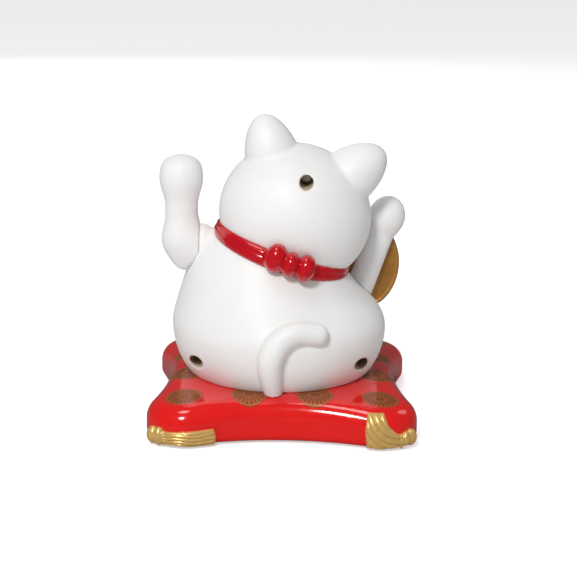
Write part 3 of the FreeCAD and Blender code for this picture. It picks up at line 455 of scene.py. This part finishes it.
def surface_net(field, low, high, step):
    """Points and quads of the closed surface where field is 0."""
    low, high = np.asarray(low, float), np.asarray(high, float)
    step = step * FINE
    values = sampled(field, low, high, step)
    inside = values < 0
    n = np.array(values.shape) - 1
    count = np.zeros(n, np.int8)
    for i in (0, 1):
        for j in (0, 1):
            for k in (0, 1):
                count += inside[i:i + n[0], j:j + n[1], k:k + n[2]]
    active = (count > 0) & (count < 8)
    cells = np.argwhere(active)
    index = np.full(active.shape, -1)
    index[active] = np.arange(len(cells))
    total, hits = np.zeros((len(cells), 3)), np.zeros(len(cells))
    for a in range(3):
        for i in (0, 1):
            for j in (0, 1):
                start = np.zeros(3, int)
                start[(a + 1) % 3], start[(a + 2) % 3] = i, j
                end = start.copy()
                end[a] = 1
                v0, v1 = values[tuple((cells + start).T)], values[tuple((cells + end).T)]
                cross = (v0 < 0) != (v1 < 0)
                at = (cells + start).astype(float)
                at[:, a] += np.where(cross, v0 / np.where(cross, v0 - v1, 1), 0)
                total += at * cross[:, None]
                hits += cross
    points = low + step * total / hits[:, None]
    quads = []
    for a in range(3):
        b, c = (a + 1) % 3, (a + 2) % 3
        first = [slice(1, -1)] * 3
        first[a] = slice(0, -1)
        second = list(first)
        second[a] = slice(1, None)
        s0, s1 = inside[tuple(first)], inside[tuple(second)]
        corner = np.argwhere(s0 != s1)
        starts_in = s0[tuple(corner.T)]
        corner = corner + np.array([0 if k == a else 1 for k in range(3)])
        eb, ec = np.eye(3, dtype=int)[b], np.eye(3, dtype=int)[c]
        q = np.stack([index[tuple((corner - d).T)] for d in (0 * eb, eb, eb + ec, ec)], 1)
        q[~starts_in] = q[~starts_in][:, ::-1]
        quads.append(q)
    quads = np.concatenate(quads)
    for _ in range(3):
        d = field(points)
        g = slope(field, points)
        size = np.maximum(np.einsum("ij,ij->i", g, g), 0.05)
        points = points - np.clip(d / size, -0.5 * step, 0.5 * step)[:, None] * g
    return points, quads


def mesh_object(name, points, faces, crease=38):
    mesh = bpy.data.meshes.new(name)
    mesh.from_pydata((np.asarray(points) * MM).tolist(), [], [list(map(int, f)) for f in faces])
    mesh.validate()
    mesh.update()
    mesh.shade_smooth()
    if crease:
        mesh.set_sharp_from_angle(angle=math.radians(crease))
    obj = bpy.data.objects.new(name, mesh)
    bpy.context.scene.collection.objects.link(obj)
    return obj


def sliced(obj, normal, gap=0.02):
    """Keeps the side of the Y = 0 plane that normal points to."""
    bm = bmesh.new()
    bm.from_mesh(obj.data)
    bmesh.ops.bisect_plane(
        bm, geom=bm.verts[:] + bm.edges[:] + bm.faces[:], dist=1e-7,
        plane_co=(0, normal * gap * MM, 0), plane_no=(0, normal, 0), clear_inner=True)
    bm.to_mesh(obj.data)
    bm.free()
    return obj


def capped(obj):
    """Closes the flat opening that a slice leaves."""
    bm = bmesh.new()
    bm.from_mesh(obj.data)
    edges = [e for e in bm.edges if e.is_boundary]
    bmesh.ops.triangle_fill(bm, use_beauty=True, use_dissolve=False, edges=edges)
    bmesh.ops.recalc_face_normals(bm, faces=bm.faces[:])
    bm.to_mesh(obj.data)
    bm.free()
    obj.data.set_sharp_from_angle(angle=math.radians(38))
    return obj


def wall(obj, thick, thin=None):
    """Gives an open skin its moulded wall, inwards, times thin at each point."""
    mod = obj.modifiers.new("wall", "SOLIDIFY")
    mod.thickness = thick * MM
    mod.offset = -1
    mod.use_even_offset = False
    if thin is not None:
        group = obj.vertex_groups.new(name="wall")
        for level in np.unique(thin):
            group.add(np.flatnonzero(thin == level).tolist(), float(level), "REPLACE")
        mod.vertex_group = "wall"
    return obj


def painted(obj, name, weights):
    """Stores a weight for each point, for a material to read."""
    layer = obj.data.attributes.new(name, "FLOAT", "POINT")
    layer.data.foreach_set("value", np.asarray(weights, np.float32))


def vertices(obj):
    co = np.empty(len(obj.data.vertices) * 3, np.float32)
    obj.data.vertices.foreach_get("co", co)
    return co.reshape(-1, 3).astype(float) / MM


def place(obj, body, slot, material, *nodes):
    """Puts a piece on its body, with its material, instead of CAD nodes; slot is not used."""
    obj.data.materials.clear()
    obj.data.materials.append(material)
    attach(obj, body)
    if nodes:
        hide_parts(*nodes)
    return obj


# ---------------------------------------------------------------- materials

class Value:
    """A number, colour or vector in a material's node tree, with plain arithmetic."""

    def __init__(self, tree, socket):
        self.tree, self.socket = tree, socket

    def op(self, kind, *others, clamp=False):
        node = self.tree.nodes.new("ShaderNodeMath")
        node.operation = kind
        node.use_clamp = clamp
        for i, other in enumerate((self, *others)):
            if isinstance(other, Value):
                self.tree.links.new(other.socket, node.inputs[i])
            else:
                node.inputs[i].default_value = other
        return Value(self.tree, node.outputs[0])

    def __add__(self, other):
        return self.op("ADD", other)

    def __sub__(self, other):
        return self.op("SUBTRACT", other)

    def __mul__(self, other):
        return self.op("MULTIPLY", other)

    def step(self, low, high):
        node = self.tree.nodes.new("ShaderNodeMapRange")
        node.interpolation_type = "SMOOTHSTEP"
        self.tree.links.new(self.socket, node.inputs["Value"])
        node.inputs["From Min"].default_value = low
        node.inputs["From Max"].default_value = high
        return Value(self.tree, node.outputs["Result"])

    def span(self, low, high):
        node = self.tree.nodes.new("ShaderNodeMapRange")
        self.tree.links.new(self.socket, node.inputs["Value"])
        node.inputs["To Min"].default_value = low
        node.inputs["To Max"].default_value = high
        return Value(self.tree, node.outputs["Result"])


class Finish:
    """A node material in construction."""

    def __init__(self, name, colour, rough=0.4, metallic=0.0, coat=0.0, coat_rough=0.08, specular=0.5):
        self.material = bpy.data.materials.new(name)
        self.material.use_nodes = True
        self.tree = self.material.node_tree
        self.shader = self.tree.nodes["Principled BSDF"]
        self.set("Base Color", (*colour, 1))
        self.set("Roughness", rough)
        self.set("Metallic", metallic)
        self.set("Coat Weight", coat)
        self.set("Coat Roughness", coat_rough)
        self.set("Specular IOR Level", specular)
        self.height = None
        self.colour = self.constant(colour)
        coords = self.tree.nodes.new("ShaderNodeTexCoord")
        self.coords = coords.outputs["Object"]

    def set(self, name, value):
        if isinstance(value, Value):
            self.tree.links.new(value.socket, self.shader.inputs[name])
        else:
            self.shader.inputs[name].default_value = value

    def constant(self, colour):
        node = self.tree.nodes.new("ShaderNodeRGB")
        node.outputs[0].default_value = (*colour, 1)
        return Value(self.tree, node.outputs[0])

    def noise(self, scale, detail=4.0, stretch=(1, 1, 1)):
        shape = self.tree.nodes.new("ShaderNodeMapping")
        shape.inputs["Scale"].default_value = stretch
        self.tree.links.new(self.coords, shape.inputs["Vector"])
        node = self.tree.nodes.new("ShaderNodeTexNoise")
        node.inputs["Scale"].default_value = scale
        node.inputs["Detail"].default_value = detail
        self.tree.links.new(shape.outputs[0], node.inputs["Vector"])
        return Value(self.tree, node.outputs["Fac"])

    def axis(self, name):
        node = self.tree.nodes.new("ShaderNodeSeparateXYZ")
        self.tree.links.new(self.coords, node.inputs[0])
        return Value(self.tree, node.outputs[name])

    def mask(self, name):
        node = self.tree.nodes.new("ShaderNodeAttribute")
        node.attribute_name = name
        return Value(self.tree, node.outputs["Fac"])

    def edges(self, low, high):
        node = self.tree.nodes.new("ShaderNodeNewGeometry")
        return Value(self.tree, node.outputs["Pointiness"]).step(low, high)

    def mix(self, factor, colour):
        """Paints colour over what is there, by factor."""
        node = self.tree.nodes.new("ShaderNodeMix")
        node.data_type = "RGBA"
        self.tree.links.new(factor.socket, node.inputs["Factor"])
        self.tree.links.new(self.colour.socket, node.inputs[6])
        self.tree.links.new(self.constant(colour).socket, node.inputs[7])
        self.colour = Value(self.tree, node.outputs[2])
        self.set("Base Color", self.colour)
        return self

    def rough(self, source, low, high):
        self.set("Roughness", source.span(low, high))
        return self

    def bump(self, source, depth_mm, strength=1.0):
        node = self.tree.nodes.new("ShaderNodeBump")
        node.inputs["Strength"].default_value = strength
        node.inputs["Distance"].default_value = depth_mm * MM
        self.tree.links.new(source.socket, node.inputs["Height"])
        if self.height:
            self.tree.links.new(self.height, node.inputs["Normal"])
        self.height = node.outputs[0]
        self.tree.links.new(self.height, self.shader.inputs["Normal"])
        return self


def moulded(name, colour, shade, rough, grain=500.0, grain_depth=0.03, **more):
    """Moulded plastic or rubber: cloudy colour, uneven gloss and fine grain."""
    f = Finish(name, colour, rough, **more)
    f.mix(f.noise(90, 5).step(0.4, 0.75), shade)
    f.rough(f.noise(240, 3), rough - 0.06, rough + 0.08)
    f.bump(f.noise(grain * 4, 2), grain_depth)
    return f


def metal(name, colour, shade, rough, along=(1, 1, 1), **more):
    """Bare or plated metal with fine drawn lines and tarnish."""
    f = Finish(name, colour, rough, metallic=1.0, **more)
    f.mix(f.noise(160, 6).step(0.45, 0.8), shade)
    f.rough(f.noise(900, 3, along), rough - 0.08, rough + 0.1)
    f.bump(f.noise(1800, 2, along), 0.012)
    return f


def white_body():
    """Satin white plastic, faintly clouded and specked, with painted shade: tan in creases and inside the
    access holes.
    """
    f = Finish("satin_white", (0.84, 0.84, 0.835), 0.46, coat=0.05, coat_rough=0.3, specular=0.28)
    f.mix(f.noise(26, 3).step(0.42, 0.78) * 0.5, (0.79, 0.785, 0.775))
    f.mix(f.noise(700, 2).step(0.70, 0.80) * 0.35, (0.66, 0.63, 0.58))
    # Painted shade: the white turns tan in creases and hollows, where pointiness is low.
    f.mix(f.edges(0.49, 0.44) * 0.30, (0.62, 0.57, 0.50))
    # Painted shade: tan inside the access holes.
    f.mix(f.mask("cup"), (0.62, 0.53, 0.40))
    f.rough(f.noise(120, 4), 0.42, 0.54)
    f.bump(f.noise(320, 2), 0.05, 0.35)
    return f.material


def rosettes(f):
    """Weight of the printed flowers: a wheel of narrow petals on a 33 mm grid."""
    pitch = 33 * MM
    offsets = []
    for name in ("X", "Y"):
        u = f.axis(name) * (1 / pitch)
        offsets.append((u.op("FRACT") - 0.5) * pitch * (1 / MM))
    x, y = offsets
    radius = (x * x + y * y).op("SQRT")
    angle = y.op("ARCTAN2", x)
    petal = (angle * 11).op("COSINE").op("ABSOLUTE")
    rim = petal * 0.9 + 9.1
    flower = (rim - radius).step(0.0, 0.35)
    grooves = petal.step(0.34, 0.16) * radius.step(3.2, 4.2)
    tips = (rim - radius - 0.95).op("ABSOLUTE").step(0.35, 0.1)
    heart = (radius - 3.1).op("ABSOLUTE").step(0.4, 0.15)
    gaps = (f.noise(1500, 3).step(0.56, 0.66) * radius.step(6.5, 9.5)).op("MULTIPLY", 0.8)
    lines = grooves.op("MAXIMUM", tips).op("MAXIMUM", heart)
    return flower, lines, gaps


def cushion_red():
    """Red gloss lacquer with the printed flowers on the cushion's top."""
    f = Finish("gloss_red", (0.76, 0.010, 0.009), 0.2, coat=0.8, coat_rough=0.06, specular=0.25)
    f.mix(f.noise(34, 4).step(0.45, 0.8) * 0.6, (0.66, 0.008, 0.010))
    f.mix(f.noise(1300, 2).step(0.68, 0.76) * 0.4, (0.42, 0.01, 0.01))
    flower, lines, gaps = rosettes(f)
    on_top = f.axis("Z").step((CROWN - 8) * MM, (CROWN - 7.4) * MM)
    flower = flower * on_top
    f.mix(flower * (gaps.op("SUBTRACT", 1.0) * -1.0), (0.28, 0.058, 0.013))
    f.mix(flower * lines, (0.46, 0.19, 0.05))
    f.set("Metallic", flower * 0.2)
    f.rough(f.noise(150, 3) + flower * 1.2, 0.10, 0.24)
    f.set("Coat Weight", flower.span(1.0, 0.35))
    f.bump(f.noise(260, 2), 0.05, 0.25)
    f.bump(flower * lines, 0.05, 0.5)
    return f.material


def collar_red():
    f = Finish("gloss_collar", (0.52, 0.004, 0.010), 0.22, coat=0.7, coat_rough=0.08, specular=0.25)
    f.mix(f.noise(70, 4).step(0.4, 0.8), (0.47, 0.003, 0.010))
    # Painted shade: near-black red in creases and hollows, where pointiness is low.
    f.mix(f.edges(0.49, 0.43) * 0.7, (0.16, 0.002, 0.006))
    f.rough(f.noise(260, 3), 0.12, 0.26)
    f.bump(f.noise(230, 3), 0.16, 0.35)
    return f.material


def tassel_gold():
    f = Finish("gold_paint", (0.92, 0.60, 0.20), 0.30, metallic=0.5, coat=0.2, coat_rough=0.25)
    f.mix(f.noise(220, 4).step(0.4, 0.75) * 0.5, (0.78, 0.46, 0.12))
    # Painted shade: dark brown in the grooves between strands, where pointiness is low.
    f.mix(f.edges(0.485, 0.42) * 0.9, (0.26, 0.12, 0.022))
    # Painted highlight: pale gold on ridges and rims, where pointiness is high.
    f.mix(f.edges(0.52, 0.60) * 0.6, (0.98, 0.74, 0.34))
    f.rough(f.noise(800, 3), 0.22, 0.38)
    f.bump(f.noise(1700, 3, (1, 1, 3)), 0.05, 0.5)
    return f.material


def coin_gold():
    f = Finish("coin_gold", (0.56, 0.27, 0.06), 0.34, metallic=0.5, coat=0.15, coat_rough=0.3)
    f.mix(f.noise(60, 4).step(0.35, 0.75), (0.42, 0.18, 0.035))
    # Painted shade: dark brown in hollows and creases, where pointiness is low.
    f.mix(f.edges(0.49, 0.44) * 0.7, (0.16, 0.07, 0.012))
    # Painted highlight: pale gold on ridges and the rim, where pointiness is high.
    f.mix(f.edges(0.52, 0.58) * 0.5, (0.72, 0.46, 0.14))
    f.rough(f.noise(500, 3), 0.26, 0.44)
    f.bump(f.noise(1200, 3), 0.03, 0.5)
    return f.material


def gloss_paint(name, colour, shade):
    f = Finish(name, colour, 0.25, coat=0.6, coat_rough=0.1)
    f.mix(f.noise(300, 3).step(0.4, 0.8), shade)
    f.rough(f.noise(500, 2), 0.2, 0.34)
    f.bump(f.noise(1500, 2), 0.02, 0.4)
    return f.material


def wound_copper():
    f = metal("wound_copper", (0.72, 0.30, 0.11), (0.45, 0.15, 0.05), 0.32)
    f.bump((f.axis("Z") * (2 * math.pi / (0.22 * MM))).op("SINE"), 0.08, 0.8)
    return f.material


def printed_board():
    f = Finish("printed_board", (0.02, 0.16, 0.06), 0.35, coat=0.4)
    tracks = (f.axis("X") * (2 * math.pi / (2.4 * MM))).op("SINE").step(0.75, 0.85)
    f.mix(tracks * f.noise(140, 1).step(0.5, 0.52), (0.05, 0.30, 0.12))
    f.rough(f.noise(400, 3), 0.28, 0.45)
    f.bump(tracks, 0.04, 0.6)
    return f.material


def banded(name, colour, shade, band, low, high, rough=0.35):
    """A sleeve with a contrasting band between two heights or places along X."""
    f = Finish(name, colour, rough, coat=0.3)
    f.mix(f.noise(200, 4).step(0.4, 0.8), shade)
    at = f.axis("X")
    f.mix(at.step(low * MM, low * MM + 0.0002) * at.step(high * MM, high * MM - 0.0002), band)
    f.rough(f.noise(400, 3), rough - 0.08, rough + 0.08)
    f.bump(f.noise(1000, 2), 0.02)
    return f.material


WHITE = white_body()
RED = cushion_red()
COLLAR_RED = collar_red()
GOLD = tassel_gold()
COIN = coin_gold()
STEEL = metal("zinc_steel", (0.62, 0.61, 0.58), (0.40, 0.38, 0.35), 0.3).material
BRASS = metal("brass", (0.80, 0.56, 0.22), (0.56, 0.35, 0.11), 0.25).material
SHAFT = metal("ground_steel", (0.66, 0.66, 0.66), (0.50, 0.50, 0.50), 0.2, (1, 12, 12)).material
NICKEL = metal("nickel_plate", (0.68, 0.67, 0.63), (0.50, 0.49, 0.46), 0.18).material
FRAME_PLASTIC = moulded("frame_plastic", (0.80, 0.78, 0.72), (0.70, 0.68, 0.62), 0.45).material
PENDULUM_PLASTIC = moulded("pendulum_plastic", (0.62, 0.64, 0.66), (0.52, 0.54, 0.57), 0.42).material
BOBBIN_PLASTIC = moulded("bobbin_plastic", (0.10, 0.10, 0.11), (0.05, 0.05, 0.055), 0.4).material
BLACK_PART = moulded("epoxy_black", (0.025, 0.025, 0.028), (0.045, 0.045, 0.05), 0.5).material
RESISTOR = moulded("resistor_tan", (0.55, 0.40, 0.22), (0.42, 0.28, 0.13), 0.4).material
RUBBER = moulded("foot_rubber", (0.045, 0.045, 0.047), (0.075, 0.075, 0.075), 0.75, grain_depth=0.08).material
TRAY = moulded("tray_red", (0.60, 0.012, 0.012), (0.48, 0.008, 0.010), 0.22, coat=0.8).material
SLIDER = moulded("slider_black", (0.03, 0.03, 0.032), (0.06, 0.06, 0.06), 0.45).material
WIRE_RED = moulded("wire_red", (0.62, 0.02, 0.02), (0.45, 0.01, 0.01), 0.4).material
WIRE_BLACK = moulded("wire_black", (0.03, 0.03, 0.03), (0.06, 0.06, 0.06), 0.45).material
COPPER = wound_copper()
BOARD = printed_board()
CAPACITOR = banded("capacitor_sleeve", (0.03, 0.05, 0.16), (0.02, 0.03, 0.10), (0.65, 0.66, 0.68), 0, 0.001)
CELL = banded("cell_sleeve", (0.10, 0.11, 0.12), (0.05, 0.055, 0.06), (0.70, 0.42, 0.10), 8, 21.3)
PAINT_BLACK = gloss_paint("paint_black", (0.012, 0.011, 0.012), (0.03, 0.026, 0.026))
PAINT_PINK = gloss_paint("paint_pink", (0.74, 0.22, 0.24), (0.66, 0.16, 0.19))
PAINT_WHITE = gloss_paint("paint_white", (0.85, 0.85, 0.84), (0.78, 0.78, 0.76))

CAD_FINISH = {
    "shell_screws": STEEL, "coin_arm_screw": STEEL, "frame_screws": STEEL, "base_screws": STEEL,
    "body_screws": STEEL, "pivot_shaft": SHAFT, "pendulum": PENDULUM_PLASTIC, "pendulum_magnet": NICKEL,
    "balance_weight": STEEL, "movement_frame": FRAME_PLASTIC, "pivot_bushes": BRASS,
    "coil_bobbin": BOBBIN_PLASTIC, "coil_winding": COPPER, "drive_board": BOARD,
    "timing_capacitor": CAPACITOR, "drive_transistor": BLACK_PART, "bias_resistor": RESISTOR,
    "cushion_top": RED, "cushion_base": RED, "rubber_feet": RUBBER, "battery_cell": CELL,
    "battery_contact_plus": NICKEL, "battery_spring": NICKEL, "battery_door": TRAY,
    "power_switch_body": BLACK_PART, "switch_slider": SLIDER, "lead_red": WIRE_RED,
    "lead_black": WIRE_BLACK,
}
for node_name, finish in CAD_FINISH.items():
    node = NODES[node_name]
    if not node.material_slots:
        node.data.materials.append(finish)
    for holder in node.material_slots:
        holder.material = finish


# ---------------------------------------------------------------- body shells

def body_halves():
    """Both body shells, with the floor under the cat cut back to a ring."""
    points, quads = surface_net(shell, (-62, -66, 18), (66, 68, 164), BODY_CELL)
    keep_out = 36.0
    from_axis = np.hypot(points[:, 0] - CAT_MIDDLE, points[:, 1])
    on_floor = points[:, 2] < crown_height(points) + 0.6
    loose = on_floor & (from_axis < keep_out)
    quads = quads[~loose[quads].all(1)]
    rim = loose & np.isin(np.arange(len(points)), quads)
    scale = keep_out / np.maximum(from_axis, 1)
    for axis, centre in ((0, CAT_MIDDLE), (1, 0.0)):
        points[rim, axis] = centre + (points[rim, axis] - centre) * scale[rim]
    used = np.unique(quads)
    renumber = np.full(len(points), -1)
    renumber[used] = np.arange(len(used))
    points, quads = points[used], renumber[quads]
    for name, side in (("rear_shell", 1), ("front_shell", -1)):
        half = mesh_object("white_" + name, points, quads, crease=50)
        sliced(half, side)
        at = vertices(half)
        # Weight for the painted shade inside the access holes.
        inside = (cups(at) < 0.25) & (cat(at) < -0.5)
        painted(half, "cup", inside)
        wall(half, BODY_WALL, np.round(np.clip((cups(at) + 0.1) / 2.5, 0.03, 1), 1).clip(0.03))
        place(half, "figure", "body_white", WHITE, name)


def arm_halves():
    points, quads = surface_net(arm, (40, -20, 70), (70, 16, 140), LIMB_CELL)
    for name, side in (("waving_arm_rear", 1), ("waving_arm_front", -1)):
        half = mesh_object("white_" + name, points, quads, crease=50)
        sliced(half, side)
        wall(half, ARM_WALL)
        place(half, "waving_arm", "body_white", WHITE, name)


def small_pieces():
    """The coin arm, the coin, the collar's halves and the bell."""
    points, quads = surface_net(coin_arm, (-68, -34, 42), (-24, 2, 118), LIMB_CELL)
    piece = mesh_object("raised_coin_arm", points, quads, crease=50)
    place(piece, "figure", "body_white", WHITE, "coin_arm")
    points, quads = surface_net(koban, COIN_LOW - 2, COIN_HIGH + 2, COIN_CELL)
    piece = mesh_object("oval_coin", points, quads, crease=45)
    place(piece, "figure", "coin_gold", COIN, "koban")
    points, quads = surface_net(collar_clear, (-42, -44, 66), (44, 48, 106), COLLAR_CELL)
    for name, side in (("collar_rear", 1), ("collar_front", -1)):
        half = mesh_object("red_" + name, points, quads, crease=50)
        capped(sliced(half, side))
        place(half, "figure", "collar_red", COLLAR_RED, name)
    points, quads = surface_net(bell, BELL_LOW - 2, BELL_HIGH + 2, BELL_CELL)
    piece = mesh_object("round_bell", points, quads, crease=45)
    place(piece, "figure", "bell_brass", BRASS, "bell")


def tassels():
    """Two tassels at the back, and the same two turned half round at the front."""
    for name, field, low, high in (
            ("combed", combed_tassel, (28, 40, -1), (72, 74, 15)),
            ("fan", fan_tassel, (-72, 35, -1), (-36, 74, 24))):
        points, quads = surface_net(field, low, high, TASSEL_CELL)
        for end, turn in (("rear", 1), ("front", -1)):
            piece = mesh_object(f"{name}_tassel_{end}", points * np.array((turn, turn, 1)), quads, crease=60)
            place(piece, "figure", "tassel_gold", GOLD)
    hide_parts("corner_tassels")


# ---------------------------------------------------------------- the painted face

def conformed(flat):
    """Moves points along Y from the front until they lie on the cat."""
    p = np.array(flat, float)
    p[:, 1] = -62
    for _ in range(60):
        d = cat(p)
        p[:, 1] += np.clip(d, -2, 4) * 0.9
    return p


def patch(name, outlines, material, slot, lift=0.1, thick=0.35):
    """Thin paint over the face: each outline is a list of (across, up) loops from the rim to the middle."""
    points, faces = [], []
    for loops in outlines:
        start = len(points)
        rows, columns = len(loops), len(loops[0])
        for loop in loops:
            points += [head_point(a, u) for a, u in loop]
        closed = len(loops[0]) > 2
        for i in range(rows - 1):
            for j in range(columns if closed else columns - 1):
                k = (j + 1) % columns
                faces.append((start + i * columns + j, start + i * columns + k,
                              start + (i + 1) * columns + k, start + (i + 1) * columns + j))
    points = conformed(points)
    out = slope(cat, points)
    out /= np.maximum(length(out), 1e-6)[:, None]
    piece = mesh_object(name, points + out * lift, faces, crease=0)
    bm = bmesh.new()
    bm.from_mesh(piece.data)
    bmesh.ops.remove_doubles(bm, verts=bm.verts[:], dist=1e-6)
    bmesh.ops.recalc_face_normals(bm, faces=bm.faces[:])
    if sum(f.normal.y for f in bm.faces) > 0:
        bmesh.ops.reverse_faces(bm, faces=bm.faces[:])
    bm.to_mesh(piece.data)
    bm.free()
    wall(piece, thick)
    return place(piece, "figure", slot, material)


def blob(across, up, wide, tall, pinch=0.0, rings=7, count=40):
    """Loops of an oval that narrows downwards by pinch."""
    loops = []
    for i in range(rings):
        s = 1 - i / (rings - 1) * 0.985
        loop = []
        for t in np.linspace(0, 2 * math.pi, count, endpoint=False):
            a, u = math.sin(t), math.cos(t)
            loop.append((across + s * wide * a * (1 + pinch * u), up + s * tall * u))
        loops.append(loop)
    return loops


def stroke(path, width):
    """Pairs of points along a painted line that tapers to its ends."""
    line = smooth_path([(a, u) for a, u in path], 28)
    ahead = np.gradient(line, axis=0)
    ahead /= np.maximum(np.hypot(ahead[:, 0], ahead[:, 1]), 1e-6)[:, None]
    t = np.linspace(0, 1, len(line))
    half = width / 2 * np.clip(np.sin(math.pi * (0.08 + 0.84 * t)) ** 0.5, 0.25, 1)
    side = np.stack((-ahead[:, 1], ahead[:, 0]), 1) * half[:, None]
    return [[tuple(m + s), tuple(m - s)] for m, s in zip(line, side)]


def face():
    """A plain painted face: eyes, brows, mouth, whiskers, nose and inner ears."""
    mid = 1.2
    eyes = [blob(mid + side * 14.5, 4.0, 4.3, 5.6) for side in (-1, 1)]
    lines = [stroke([(mid, -8.2), (mid - 0.2, -10.5)], 0.9)]
    for side in (-1, 1):
        lines.append(stroke([(mid, -10.2), (mid + side * 3, -12.6), (mid + side * 6.4, -11.6),
                             (mid + side * 8.2, -8.8)], 0.95))
        brow = [(mid + side * 10, 13.4), (mid + side * 14.5, 15.2), (mid + side * 19, 13.6)]
        lines.append(stroke(brow, 0.9))
        for k, (rise, start) in enumerate(((2.2, -5.0), (0.0, -8.6), (-2.4, -12.2))):
            reach = mid + side * (30.5 - abs(k - 1) * 1.2)
            lines.append(stroke([(mid + side * 18.5, start), (mid + side * 25, start + rise * 0.4),
                                 (reach, start + rise)], 0.8))
    patch("painted_eyes", eyes, PAINT_BLACK, "face_white")
    patch("painted_lines", lines, PAINT_BLACK, "face_white")
    glints = [blob(mid + side * 14.5 - 1.3, 6.0, 1.2, 1.5) for side in (-1, 1)]
    patch("painted_glints", glints, PAINT_WHITE, "face_white", lift=0.25)
    patch("painted_nose", [blob(mid, -5.6, 3.0, 2.1, 0.35)], PAINT_PINK, "face_white", lift=0.2)
    ears = []
    for side, *_ in EARS:
        turn = side - HEAD_LEAN
        c, s = math.cos(math.radians(turn)), math.sin(math.radians(turn))
        oval = blob(0, 33.5, 7.0, 13.2, -0.25)
        ears.append([[(a * c + u * s, -a * s + u * c) for a, u in loop] for loop in oval])
    patch("painted_ears", ears, PAINT_PINK, "face_white", lift=0.08)


# ---------------------------------------------------------------- stage, light and camera

def studio():
    """A pale floor, a white surround and four soft lamps."""
    mesh = bpy.data.meshes.new("floor")
    size = 6.0
    corners = [(-size, -size, 0), (size, -size, 0), (size, size, 0), (-size, size, 0)]
    mesh.from_pydata(corners, [], [(0, 1, 2, 3)])
    floor = bpy.data.objects.new("floor", mesh)
    bpy.context.scene.collection.objects.link(floor)
    f = Finish("pale_floor", (0.90, 0.90, 0.90), 0.9, specular=0.1)
    f.mix(f.noise(3, 2) * 0.2, (0.88, 0.88, 0.88))
    seen = f.tree.nodes.new("ShaderNodeLightPath")
    f.set("Emission Color", (1, 1, 1, 1))
    f.set("Emission Strength", Value(f.tree, seen.outputs["Is Camera Ray"]) * 0.52)
    f.mix(Value(f.tree, seen.outputs["Is Glossy Ray"]), (0.16, 0.15, 0.15))
    mesh.materials.append(f.material)

    world = bpy.data.worlds.new("studio")
    bpy.context.scene.world = world
    world.use_nodes = True
    world.node_tree.nodes["Background"].inputs["Color"].default_value = (1.0, 0.99, 0.975, 1)
    seen = world.node_tree.nodes.new("ShaderNodeLightPath")
    strength = Value(world.node_tree, seen.outputs["Is Camera Ray"]) * 0.68 + 0.34
    strength = strength - Value(world.node_tree, seen.outputs["Is Glossy Ray"]) * 0.25
    world.node_tree.links.new(strength.socket, world.node_tree.nodes["Background"].inputs["Strength"])

    for name, place_at, size, power in (
            ("key", (0.35, 1.1, 1.1), 0.32, 13.2),
            ("overhead", (0.25, 0.2, 1.5), 0.5, 3.0),
            ("rim", (-0.9, -0.5, 0.9), 0.5, 0.8),
            ("front_fill", (0.3, -1.4, 0.8), 1.0, 6.0)):
        lamp = bpy.data.lights.new(name, "AREA")
        lamp.shape = "DISK"
        lamp.size = size
        lamp.energy = power
        obj = bpy.data.objects.new(name, lamp)
        bpy.context.scene.collection.objects.link(obj)
        obj.location = place_at
        obj.visible_glossy = name != "front_fill"
        aim = Vector((0, 0, 0.06)) - Vector(place_at)
        obj.rotation_euler = aim.to_track_quat("-Z", "Y").to_euler()


def camera():
    """From behind and a little above, with a slight roll."""
    target = Vector((-2.63, 0, 64.9)) * MM
    away, rise, swing, roll = 0.78124, math.radians(14.8), math.radians(-0.33), math.radians(0.88)
    back = Vector((-math.sin(swing) * math.cos(rise), math.cos(swing) * math.cos(rise), math.sin(rise)))
    right = Vector((0, 0, 1)).cross(back).normalized()
    up = back.cross(right)
    tilted_right = right * math.cos(roll) + up * math.sin(roll)
    tilted_up = up * math.cos(roll) - right * math.sin(roll)
    eye = target + back * away
    lens = bpy.data.cameras.new("camera")
    lens.lens = 92.07
    lens.sensor_width = 36
    obj = bpy.data.objects.new("camera", lens)
    bpy.context.scene.collection.objects.link(obj)
    obj.matrix_world = Matrix.Translation(eye) @ Matrix((tilted_right, tilted_up, back)).transposed().to_4x4()
    bpy.context.scene.camera = obj
    bpy.context.scene.view_settings.view_transform = "Standard"


body_halves()
arm_halves()
small_pieces()
tassels()
face()
studio()
camera()
